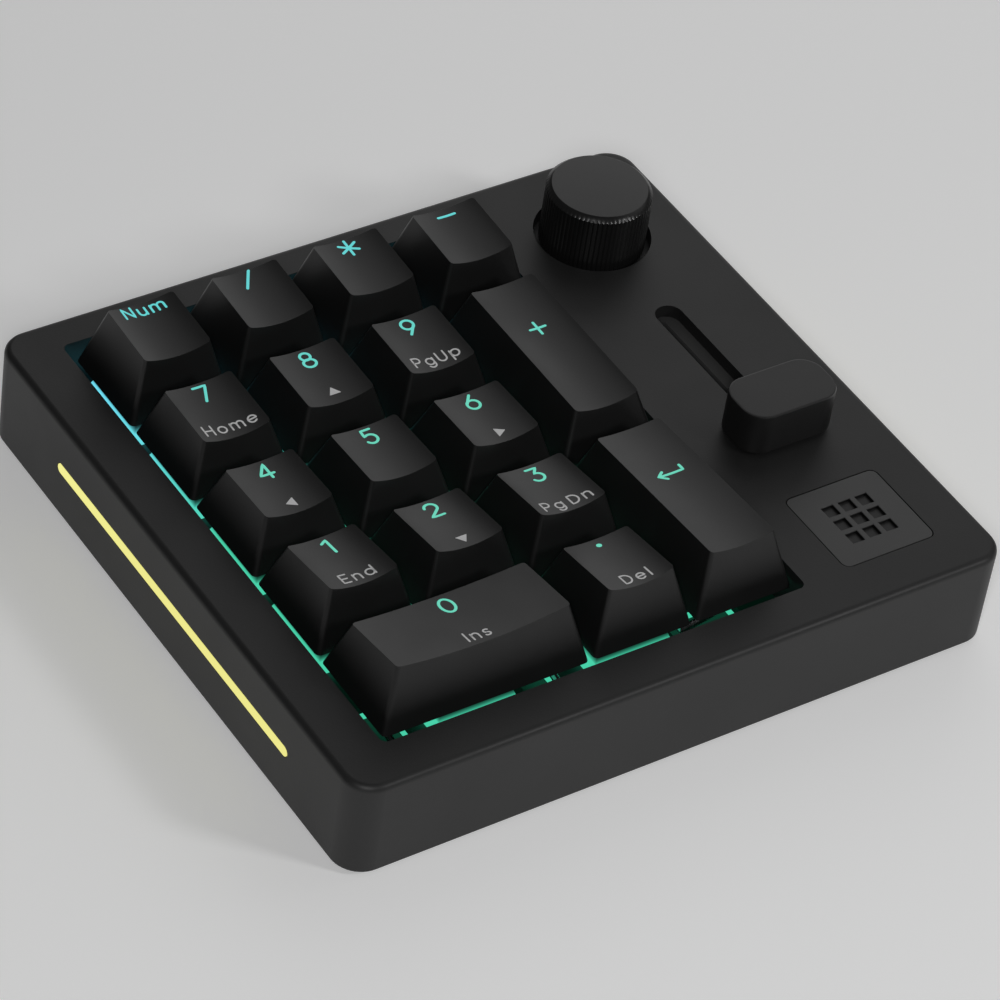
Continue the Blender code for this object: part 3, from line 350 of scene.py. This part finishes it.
# Encoder's can: a greyer and duller plate.
DARK_STEEL = metal("zinc_plated_steel", "#6e6e70", 0.40)

# Circuit board: a very dark green lacquer with a soft shine.
BOARD_MASK = moulded_plastic("solder_mask_green", "#0b2418", "#0e2c1e", 0.40, 0.5, 0.01)

# Encoder's rotor: a plain slick grey.
ROTOR_POM = moulded_plastic("pom_rotor_grey", "#5a5a5a", "#646464", 0.45, 0.3, 0.002)

# Floor: a pale matt grey that takes soft shadows.
FLOOR_PAPER = floor_paper("pale_floor", "#f4f4f4", 0.22)

# The finish of each piece that keeps the frame's own mesh, by the beginning of its name
FINISHES = (
    ("stem_", STEM_RED),
    ("stabiliser_", STEEL),
    ("case_screw_", STEEL),
    ("foot_", RUBBER),
    ("light_bar_", BAR_GLOW),
    ("switch_plate", PLATE_GLOW),
    ("switch_housings", HOUSING_GLOW),
    ("circuit_board", BOARD_MASK),
    ("encoder_body", DARK_STEEL),
    ("encoder_rotor", ROTOR_POM),
    ("encoder_shaft", STEEL),
    ("fader_body", FADER_GREY),
    ("fader_lever", STEEL),
)


# ---------------------------------------------------------------- mesh tools


def bevel(bm, edges, offset, segments):
    bmesh.ops.bevel(
        bm,
        geom=list(edges),
        offset=offset,
        segments=segments,
        profile=0.5,
        affect="EDGES",
        material=-1,
        clamp_overlap=True,
    )


def upright_edges(bm, least):
    """The edges that climb more than a height."""
    return [edge for edge in bm.edges if abs(edge.verts[0].co.z - edge.verts[1].co.z) > least]


def make_piece(name, bm, material, body, replaces=(), smooth_angle=SMOOTH_ANGLE):
    """Turns a bmesh into a piece that rides on a body."""
    mesh = bpy.data.meshes.new(name)
    bm.to_mesh(mesh)
    bm.free()
    mesh.shade_smooth()
    mesh.set_sharp_from_angle(angle=math.radians(smooth_angle))
    mesh.materials.append(material)
    piece = bpy.data.objects.new(name, mesh)
    bpy.context.scene.collection.objects.link(piece)
    even = piece.modifiers.new("even_shading", "WEIGHTED_NORMAL")
    even.keep_sharp = True
    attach(piece, body)
    if replaces:
        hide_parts(*replaces)
    return piece


def slice_along(bm, axis, places):
    """Cuts the whole mesh by planes square to an axis, and keeps both halves."""
    for place in places:
        point = Vector((0.0, 0.0, 0.0))
        normal = Vector((0.0, 0.0, 0.0))
        point[axis] = place
        normal[axis] = 1.0
        everything = bm.verts[:] + bm.edges[:] + bm.faces[:]
        bmesh.ops.bisect_plane(bm, geom=everything, dist=1e-7, plane_co=point, plane_no=normal)


# ---------------------------------------------------------------- key caps


def half_size(shape):
    """Half of a cap's width and depth at its skirt."""
    return (shape.wide * KEY_PITCH - KEY_SPACING) / 2, (shape.deep * KEY_PITCH - KEY_SPACING) / 2


def dish_depth(shape, x):
    """How far the finger dish lies below the top's side edges, at x on the top."""
    half = half_size(shape)[0] - SIDE_LEAN
    radius = (half**2 + shape.dish**2) / (2 * shape.dish)
    return math.sqrt(radius**2 - min(abs(x), half) ** 2) - (radius - shape.dish)


def plane_height(shape, y):
    """The height of the top before it is dished, at y on the top."""
    share = (y - shape.front_y) / (shape.back_y - shape.front_y)
    return shape.front_z + share * (shape.back_z - shape.front_z)


def lean_in(shape, x, y, level):
    """Where a point of the skirt's outline goes at a level from 0, the skirt, to 1, the top."""
    half_x, half_y = half_size(shape)
    top_x = x * (1 - SIDE_LEAN / half_x)
    top_y = shape.front_y + (y + half_y) / (2 * half_y) * (shape.back_y - shape.front_y)
    top_z = plane_height(shape, top_y)
    if level > 0.5:
        level = 1 - dish_depth(shape, top_x) / (top_z + SKIRT_DROP)
    foot = Vector((x, y, -SKIRT_DROP))
    return foot.lerp(Vector((top_x, top_y, top_z)), level)


def cap_mesh(shape):
    """A hollow key cap: rounded outline, leaning sides, dished top with a soft rim, and a post."""
    half_x, half_y = half_size(shape)
    bm = bmesh.new()
    box = Matrix.Translation((0, 0, 0.5)) @ Matrix.Diagonal((2 * half_x, 2 * half_y, 1.0, 1.0))
    bmesh.ops.create_cube(bm, size=1.0, matrix=box)
    bevel(bm, upright_edges(bm, 0.5), CAP_CORNER, CAP_CORNER_STEPS)
    strips = round(2 * half_x / CAP_STRIP)
    slice_along(bm, 0, [half_x * (2 * i / strips - 1) for i in range(1, strips)])
    for vert in bm.verts:
        vert.co = lean_in(shape, vert.co.x, vert.co.y, vert.co.z)
    bm.normal_update()
    bmesh.ops.dissolve_faces(bm, faces=underside(bm), use_verts=True)
    rim = [
        edge
        for edge in bm.edges
        if len(edge.link_faces) == 2
        and {face.normal.z > TOP_FACES for face in edge.link_faces} == {True, False}
    ]
    bevel(bm, rim, CAP_RIM, CAP_RIM_STEPS)
    roof = min(shape.front_z, shape.back_z) - shape.dish - CAP_ROOF
    hollow_out(bm, shape, roof)
    add_post(bm, roof)
    return bm


def underside(bm):
    return [face for face in bm.faces if face.normal.z < UNDERSIDE_FACES]


def hollow_out(bm, shape, roof):
    """Pushes the underside up to the roof, inside walls that lean as the sides do."""
    half_x, half_y = half_size(shape)
    mouth = underside(bm)
    bmesh.ops.inset_region(bm, faces=mouth, thickness=CAP_WALL, use_even_offset=True)
    lifted = bmesh.ops.extrude_face_region(bm, geom=mouth)["geom"]
    bmesh.ops.delete(bm, geom=mouth, context="FACES")
    share = (roof + SKIRT_DROP) / (min(shape.front_z, shape.back_z) + SKIRT_DROP)
    across = 1 - share * SIDE_LEAN / half_x
    along = 1 - share * (1 - (shape.back_y - shape.front_y) / (2 * half_y))
    middle = share * (shape.front_y + shape.back_y) / 2
    for vert in [item for item in lifted if isinstance(item, bmesh.types.BMVert)]:
        vert.co = Vector((vert.co.x * across, vert.co.y * along + middle, roof))


def add_post(bm, roof):
    """The hollow post under the roof that the switch stem plugs into."""
    height = roof + POST_REACH - POST_BOTTOM
    made = bmesh.ops.create_cone(
        bm,
        cap_ends=True,
        segments=POST_FACETS,
        radius1=POST_RADIUS,
        radius2=POST_RADIUS,
        depth=height,
        matrix=Matrix.Translation((0, 0, POST_BOTTOM + height / 2)),
    )
    faces = {face for vert in made["verts"] for face in vert.link_faces}
    end = min(faces, key=lambda face: face.calc_center_median().z)
    bmesh.ops.inset_region(bm, faces=[end], thickness=POST_RADIUS - POST_BORE)
    lifted = bmesh.ops.extrude_face_region(bm, geom=[end])["geom"]
    bmesh.ops.delete(bm, geom=[end], context="FACES")
    verts = [item for item in lifted if isinstance(item, bmesh.types.BMVert)]
    bmesh.ops.translate(bm, verts=verts, vec=(0, 0, POST_BORE_DEPTH))


def key_place(column, row):
    """The middle of a key at the deck."""
    return GRID_CENTRE + Vector((column * KEY_PITCH, row * KEY_PITCH, DECK_TOP))


def make_caps():
    for name, shape_name, column, row, _, _ in KEYS:
        bm = cap_mesh(CAP_SHAPES[shape_name])
        bmesh.ops.translate(bm, verts=bm.verts, vec=key_place(column, row))
        make_piece(f"cap_{name}", bm, CAP_PBT, f"key_{name}", [f"keycap_{name}"])


# ---------------------------------------------------------------- legends

LIT_HEIGHT = 3.35 * MM
LIT_WORD_HEIGHT = 2.25 * MM
LIT_STROKE = 0.48 * MM
LIT_WORD_STROKE = 0.38 * MM
DOT_WIDTH = 0.9 * MM  # the decimal point's
PLAIN_HEIGHT = 2.1 * MM
PLAIN_STROKE = 0.32 * MM
LETTER_GAP = 0.44  # in letter heights

# How far behind the key's middle a legend is centred
LIT_Y = 4.1 * MM
PLAIN_Y = -4.0 * MM
LIT_PLACES = {
    "num_lock": 4.6 * MM,
    "minus": 4.4 * MM,
    "plus": 4.7 * MM,
    "enter": 4.4 * MM,
    "1": 4.3 * MM,
    "2": 4.4 * MM,
    "3": 4.3 * MM,
    "0": 4.2 * MM,
    "decimal": 5.4 * MM,
}

ARROW_TURNS = {"up": 0, "left": 90, "down": 180, "right": 270}
ARROW_WIDTH = 2.1 * MM
ARROW_SQUASH = 0.92
ARROW_CORNER = 0.12 * MM
ARROW_CORNER_STEPS = 3

# Legends stand a little proud of the cap, and reach a little into it.
LEGEND_RISE = 0.03 * MM
LEGEND_SINK = 0.10 * MM
LEGEND_MERGE = 0.001 * MM
STROKE_STEP = 0.35 * MM
ARC_STEP = 18  # degrees
LEAST_ARC_STEPS = 4

# Round end of a stroke: how far out each ring lies and its radius, in half stroke widths
ROUND_END = ((0.999, 0.05), (0.87, 0.5), (0.5, 0.87))

# Strokes of each sign, in letter heights. Two numbers are a point. Six are an arc: its centre, its
# two radii, and the angles in degrees where it starts and ends.
SIGNS = {
    "0": [[(0.35, 0.5, 0.34, 0.5, 90, 450)]],
    "1": [[(0.10, 0.80), (0.40, 1.0), (0.40, 0.0)]],
    "2": [[(0.35, 0.68, 0.31, 0.32, 170, -35), (0.03, 0.0), (0.68, 0.0)]],
    "3": [[(0.06, 1.0), (0.60, 1.0), (0.30, 0.60), (0.33, 0.31, 0.31, 0.31, 80, -155)]],
    "4": [[(0.50, 0.0), (0.50, 1.0), (0.0, 0.27), (0.70, 0.27)]],
    "5": [[(0.60, 1.0), (0.14, 1.0), (0.09, 0.56), (0.34, 0.33, 0.31, 0.32, 115, -150)]],
    "6": [[(0.50, 1.0), (0.08, 0.46)], [(0.35, 0.32, 0.32, 0.32, 90, 450)]],
    "7": [[(0.03, 1.0), (0.68, 1.0), (0.24, 0.0)]],
    "8": [[(0.35, 0.75, 0.26, 0.25, 90, 450)], [(0.35, 0.27, 0.32, 0.27, 90, 450)]],
    "9": [[(0.20, 0.0), (0.62, 0.54)], [(0.35, 0.68, 0.32, 0.32, 90, 450)]],
    "N": [[(0.0, 0.0), (0.0, 1.0), (0.72, 0.0), (0.72, 1.0)]],
    "H": [[(0.0, 0.0), (0.0, 1.0)], [(0.70, 0.0), (0.70, 1.0)], [(0.0, 0.5), (0.70, 0.5)]],
    "P": [[(0.0, 0.0), (0.0, 1.0), (0.34, 0.72, 0.28, 0.28, 90, -90), (0.0, 0.44)]],
    "U": [[(0.0, 1.0), (0.34, 0.34, 0.34, 0.34, 180, 360), (0.68, 1.0)]],
    "E": [[(0.58, 1.0), (0.0, 1.0), (0.0, 0.0), (0.58, 0.0)], [(0.0, 0.5), (0.50, 0.5)]],
    "D": [[(0.0, 0.0), (0.0, 1.0), (0.24, 0.5, 0.48, 0.5, 90, -90), (0.0, 0.0)]],
    "I": [[(0.0, 0.0), (0.0, 1.0)]],
    "l": [[(0.0, 0.0), (0.0, 1.0)]],
    "u": [
        [(0.0, 0.68), (0.28, 0.28, 0.28, 0.28, 180, 360), (0.56, 0.68)],
        [(0.56, 0.28), (0.56, 0.0)],
    ],
    "m": [
        [(0.0, 0.0), (0.0, 0.68)],
        [(0.25, 0.43, 0.25, 0.25, 180, 0), (0.50, 0.0)],
        [(0.75, 0.43, 0.25, 0.25, 180, 0), (1.0, 0.0)],
    ],
    "n": [[(0.0, 0.0), (0.0, 0.68)], [(0.28, 0.40, 0.28, 0.28, 180, 0), (0.56, 0.0)]],
    "o": [[(0.34, 0.34, 0.33, 0.34, 90, 450)]],
    "e": [[(0.03, 0.35), (0.65, 0.35), (0.34, 0.34, 0.33, 0.34, 5, 315)]],
    "g": [[(0.33, 0.34, 0.33, 0.34, 90, 450)], [(0.66, 0.68), (0.34, 0.0, 0.32, 0.32, 0, -150)]],
    "p": [[(0.0, 0.68), (0.0, -0.32)], [(0.34, 0.34, 0.33, 0.34, 90, 450)]],
    "d": [[(0.66, 1.0), (0.66, 0.0)], [(0.33, 0.34, 0.33, 0.34, 90, 450)]],
    "s": [[(0.25, 0.51, 0.20, 0.17, 35, 270), (0.24, 0.17, 0.22, 0.17, 90, -150)]],
    "/": [[(0.0, -0.04), (0.66, 1.04)]],
    "*": [[(0.45, 0.0), (0.45, 1.0)], [(0.0, 0.25), (0.90, 0.75)], [(0.0, 0.75), (0.90, 0.25)]],
    "-": [[(0.0, 0.5), (0.95, 0.5)]],
    "+": [[(0.0, 0.5), (0.86, 0.5)], [(0.43, 0.07), (0.43, 0.93)]],
    ".": [[(0.0, 0.5), (0.02, 0.5)]],
    "return": [
        [(0.0, 0.45), (1.38, 0.45), (1.38, 0.80)],
        [(0.35, 0.72), (0.0, 0.45), (0.35, 0.18)],
    ],
}


def stroke_points(stroke, size):
    """The points that a stroke of a sign runs through, close enough to bend on a curved top."""
    route = []
    for item in stroke:
        if len(item) == 2:
            route.append(Vector(item))
            continue
        x, y, across, up, start, end = item
        steps = max(LEAST_ARC_STEPS, round(abs(end - start) / ARC_STEP))
        for step in range(steps + 1):
            angle = math.radians(start + (end - start) * step / steps)
            route.append(Vector((x + across * math.cos(angle), y + up * math.sin(angle))))
    points = []
    for near, far in zip(route, route[1:]):
        steps = max(1, math.ceil((far - near).length * size / STROKE_STEP))
        points += [near.lerp(far, step / steps) * size for step in range(steps)]
    return points + [route[-1] * size]


def sign_extent(strokes):
    """How far a sign reaches left and right, with an arc's radius on both sides of its centre."""
    reach = []
    for item in (item for stroke in strokes for item in stroke):
        radius = item[2] if len(item) > 2 else 0.0
        reach += [item[0] - radius, item[0] + radius]
    return min(reach), max(reach)


def round_ends(points, width):
    """An open stroke's points and radii, with the rings that round off its two ends."""
    head = (points[0] - points[1]).normalized() * width / 2
    tail = (points[-1] - points[-2]).normalized() * width / 2
    before = [points[0] + head * out for out, _ in ROUND_END]
    after = [points[-1] + tail * out for out, _ in reversed(ROUND_END)]
    thinning = [radius for _, radius in ROUND_END]
    return before + points + after, thinning + [1.0] * len(points) + thinning[::-1]


def written(text, size, width):
    """A word or sign as flat-topped strokes, centred across and on half its height."""
    signs = [text] if text in SIGNS else list(text)
    curve = bpy.data.curves.new("strokes", "CURVE")
    curve.dimensions = "3D"
    curve.bevel_depth = width / 2
    curve.bevel_resolution = 2
    curve.use_fill_caps = True
    cursor = 0.0
    for sign in signs:
        low, high = sign_extent(SIGNS[sign])
        for stroke in SIGNS[sign]:
            points = stroke_points(stroke, size)
            closed = (points[0] - points[-1]).length < SAME_PLACE
            spline = curve.splines.new("POLY")
            spline.use_cyclic_u = closed
            if closed:
                points.pop()
                radii = [1.0] * len(points)
            else:
                points, radii = round_ends(points, width)
            spline.points.add(len(points) - 1)
            for place, point, radius in zip(spline.points, points, radii):
                place.co = (point.x + cursor - low * size, point.y, 0.0, 1.0)
                place.radius = radius
        cursor += (high - low + LETTER_GAP) * size
    obj = bpy.data.objects.new("strokes", curve)
    bpy.context.scene.collection.objects.link(obj)
    bpy.context.view_layer.update()
    depsgraph = bpy.context.evaluated_depsgraph_get()
    mesh = bpy.data.meshes.new_from_object(obj.evaluated_get(depsgraph))
    bm = bmesh.new()
    bm.from_mesh(mesh)
    bpy.data.objects.remove(obj)
    bpy.data.curves.remove(curve)
    bpy.data.meshes.remove(mesh)
    middle = (cursor - LETTER_GAP * size) / 2
    for vert in bm.verts:
        vert.co.x -= middle
        vert.co.y -= size / 2
        vert.co.z = max(-LEGEND_SINK, min(LEGEND_RISE, vert.co.z))
    bmesh.ops.remove_doubles(bm, verts=bm.verts, dist=LEGEND_MERGE)
    bmesh.ops.recalc_face_normals(bm, faces=bm.faces)
    return bm


def arrow(direction):
    """A small solid triangle with rounded corners."""
    bm = bmesh.new()
    height = LEGEND_RISE + LEGEND_SINK
    place = Matrix.Translation((0, 0, LEGEND_RISE - height / 2))
    turn = Matrix.Rotation(math.radians(ARROW_TURNS[direction]), 4, "Z")
    squash = Matrix.Scale(ARROW_SQUASH, 4, (0, 1, 0))
    radius = ARROW_WIDTH / math.sqrt(3)
    bmesh.ops.create_cone(
        bm,
        cap_ends=True,
        segments=3,
        radius1=radius,
        radius2=radius,
        depth=height,
        matrix=place @ turn @ squash,
    )
    bevel(bm, upright_edges(bm, height / 2), ARROW_CORNER, ARROW_CORNER_STEPS)
    return bm


def lay_on_cap(bm, top, place, centre_y):
    """Bends a flat legend onto a cap's dished top, and moves it to its key."""
    for vert in bm.verts:
        x, y, rise = vert.co
        y += centre_y
        hit = top.ray_cast(Vector((x, y, KEY_PITCH)), Vector((0, 0, -1)))[0]
        vert.co = place + Vector((x, y, hit.z + rise))


def lit_style(legend):
    """The height and the stroke width of a lit legend."""
    if legend == ".":
        return LIT_HEIGHT, DOT_WIDTH
    if legend in SIGNS:
        return LIT_HEIGHT, LIT_STROKE
    return LIT_WORD_HEIGHT, LIT_WORD_STROKE


def make_legends():
    for name, shape_name, column, row, lit, plain in KEYS:
        cap = cap_mesh(CAP_SHAPES[shape_name])
        top = BVHTree.FromBMesh(cap)
        cap.free()
        place = key_place(column, row)
        bm = written(lit, *lit_style(lit))
        lay_on_cap(bm, top, place, LIT_PLACES.get(name, LIT_Y))
        make_piece(f"legend_{name}", bm, LIT_LEGEND, f"key_{name}")
        if plain:
            bm = arrow(plain) if plain in ARROW_TURNS else written(plain, PLAIN_HEIGHT, PLAIN_STROKE)
            lay_on_cap(bm, top, place, PLAIN_Y)
            make_piece(f"second_legend_{name}", bm, WHITE_LEGEND, f"key_{name}")


# ---------------------------------------------------------------- knob


def make_knob():
    """A turned knob: flat top, cut chamfer, and fine upright ribs round its side."""
    side_bottom = KNOB_BOTTOM + KNOB_FOOT_HEIGHT
    profile = [
        (0.0, KNOB_TOP),
        (KNOB_RADIUS - KNOB_CHAMFER - TOP_ROUND_WIDTH, KNOB_TOP),
        (KNOB_RADIUS - KNOB_CHAMFER, KNOB_TOP - TOP_ROUND_DROP),
        (KNOB_RADIUS - CHAMFER_BELLY, KNOB_TOP - KNOB_CHAMFER + CHAMFER_BELLY),
        (KNOB_RADIUS, KNOB_TOP - KNOB_CHAMFER),
        (KNOB_RADIUS, side_bottom),
        (KNOB_RADIUS - KNOB_FOOT_INSET, KNOB_BOTTOM),
        (KNOB_BORE, KNOB_BOTTOM),
        (KNOB_BORE, KNOB_BORE_TOP),
        (0.0, KNOB_BORE_TOP),
    ]
    bm = bmesh.new()
    verts = [bm.verts.new((radius, 0.0, height)) for radius, height in profile]
    edges = [bm.edges.new(pair) for pair in zip(verts, verts[1:])]
    steps = KNOB_RIBS * STEPS_PER_RIB
    bmesh.ops.spin(
        bm,
        geom=verts + edges,
        cent=(0, 0, 0),
        axis=(0, 0, 1),
        angle=2 * math.pi,
        steps=steps,
        use_merge=True,
    )
    bmesh.ops.remove_doubles(bm, verts=bm.verts, dist=MERGE_DISTANCE)
    for vert in bm.verts:
        radius = vert.co.xy.length
        index = round(math.atan2(vert.co.y, vert.co.x) / (2 * math.pi) * steps)
        on_side = radius > KNOB_RADIUS - SAME_PLACE and vert.co.z > side_bottom - SAME_PLACE
        if on_side and index % STEPS_PER_RIB == 0:
            vert.co.xy *= (radius - RIB_DEPTH) / radius
    bmesh.ops.recalc_face_normals(bm, faces=bm.faces)
    bmesh.ops.translate(bm, verts=bm.verts, vec=KNOB_CENTRE)
    make_piece("turned_knob", bm, KNOB_BLACK, "knob_pusher", ["knob"], KNOB_SMOOTH_ANGLE)


# ---------------------------------------------------------------- pieces refined from the frame


def refine(node, name, material, body, softening):
    """The node's own shape as a closed mesh, with its sharp outer edges softened by a width."""
    bm = bmesh.new()
    bm.from_mesh(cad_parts[node].data)
    bmesh.ops.remove_doubles(bm, verts=bm.verts, dist=MERGE_DISTANCE)
    flat = math.radians(FLAT_ANGLE)
    bmesh.ops.dissolve_limit(bm, angle_limit=flat, verts=bm.verts, edges=bm.edges)
    sharp = [
        edge
        for edge in bm.edges
        if edge.is_manifold and edge.is_convex and edge.calc_face_angle() > math.radians(SHARP_ANGLE)
    ]
    if softening:
        bevel(bm, sharp, softening, EDGE_STEPS)
    return make_piece(name, bm, material, body, [node])


def paint_mark_shade(badge):
    """Paints shade onto the badge's sunk squares: their walls and floors turn near black."""
    badge.data.materials.append(MARK_SHADE_PAINT)
    for face in badge.data.polygons:
        # Walls and floors of the sunk squares take the painted shade.
        sunk = MARK_LOW < face.center.z < MARK_HIGH
        if sunk and abs(face.center.x - BADGE_X) < MARK_REACH:
            face.material_index = 1


def paint(node, material):
    """Gives a node of the frame its finish."""
    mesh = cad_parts[node].data
    mesh.materials.clear()
    mesh.materials.append(material)


# ---------------------------------------------------------------- put together

make_caps()
make_legends()
make_knob()
refine("case_top", "case_shell", CASE_ABS, "root", SHELL_EDGE)
refine("case_bottom", "case_cover", CASE_ABS, "root", COVER_EDGE)
refine("slider_cap", "slide_cap", SLIDER_ABS, "slider", 0)
# The badge's sunk squares get painted shade, so that they read as deep holes.
paint_mark_shade(refine("badge_plate", "badge", BADGE_FINISH, "root", BADGE_EDGE))
refine("usb_socket", "usb_shell", STEEL, "root", SOCKET_EDGE)
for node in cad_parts:
    for beginning, finish in FINISHES:
        if node.startswith(beginning):
            paint(node, finish)

# ---------------------------------------------------------------- floor, light and camera

FLOOR_REACH = 4.0
SOFTBOX_DISTANCE = 0.7
WORLD_LIGHT = 0.05
CAMERA_PLACE = Vector((-354.77, -443.45, 519.89)) * MM
CAMERA_TURN = (47.568, -6.767, -32.666)
CAMERA_LENS = 171.7
SENSOR_WIDTH = 36.0

# Angles in degrees: turn is counted round the object from its right side, and height from the floor.
Softbox = namedtuple("Softbox", "name turn height size power")
SOFTBOXES = (
    Softbox("back_right_high", 51, 42, 0.5, 0.26),
    Softbox("back_right_low", 51, 18, 0.5, 0.50),
    Softbox("back_softbox", 80, 60, 0.5, 0.06),
    Softbox("right_softbox", 0, 45, 0.5, 0.30),
    Softbox("viewer_side_lamp", 231, 42, 0.09, 1.1),
    Softbox("front_edge_lamp", -56, 35, 0.10, 0.8),
)


def add_to_scene(name, data):
    obj = bpy.data.objects.new(name, data)
    bpy.context.scene.collection.objects.link(obj)
    return obj


def make_floor():
    bm = bmesh.new()
    bmesh.ops.create_grid(bm, x_segments=1, y_segments=1, size=FLOOR_REACH)
    mesh = bpy.data.meshes.new("floor")
    bm.to_mesh(mesh)
    bm.free()
    mesh.materials.append(FLOOR_PAPER)
    floor = add_to_scene("floor", mesh)


def make_softbox(box):
    """A square soft lamp that points at the middle of the scene."""
    light = bpy.data.lights.new(box.name, "AREA")
    light.shape = "SQUARE"
    light.size = box.size
    light.energy = box.power
    turn, height = math.radians(box.turn), math.radians(box.height)
    flat = math.cos(height)
    outward = Vector((math.cos(turn) * flat, math.sin(turn) * flat, math.sin(height)))
    place = outward * SOFTBOX_DISTANCE
    lamp = add_to_scene(box.name, light)
    lamp.location = place
    lamp.rotation_euler = (-place).to_track_quat("-Z", "Y").to_euler()


def light_the_room():
    """Faint white light from all round, which keeps shadows from going fully black."""
    world = bpy.data.worlds.new("studio")
    bpy.context.scene.world = world
    world.use_nodes = True
    background = world.node_tree.nodes["Background"]
    background.inputs["Color"].default_value = (1.0, 1.0, 1.0, 1.0)
    background.inputs["Strength"].default_value = WORLD_LIGHT


def make_camera():
    data = bpy.data.cameras.new("camera")
    data.lens = CAMERA_LENS
    data.sensor_width = SENSOR_WIDTH
    camera = add_to_scene("camera", data)
    camera.location = CAMERA_PLACE
    camera.rotation_euler = [math.radians(angle) for angle in CAMERA_TURN]
    bpy.context.scene.camera = camera


make_floor()
for box in SOFTBOXES:
    make_softbox(box)
light_the_room()
make_camera()

# The saturated teal and yellow of the lit pieces keep their strength only in this view.
bpy.context.scene.view_settings.view_transform = "Standard"
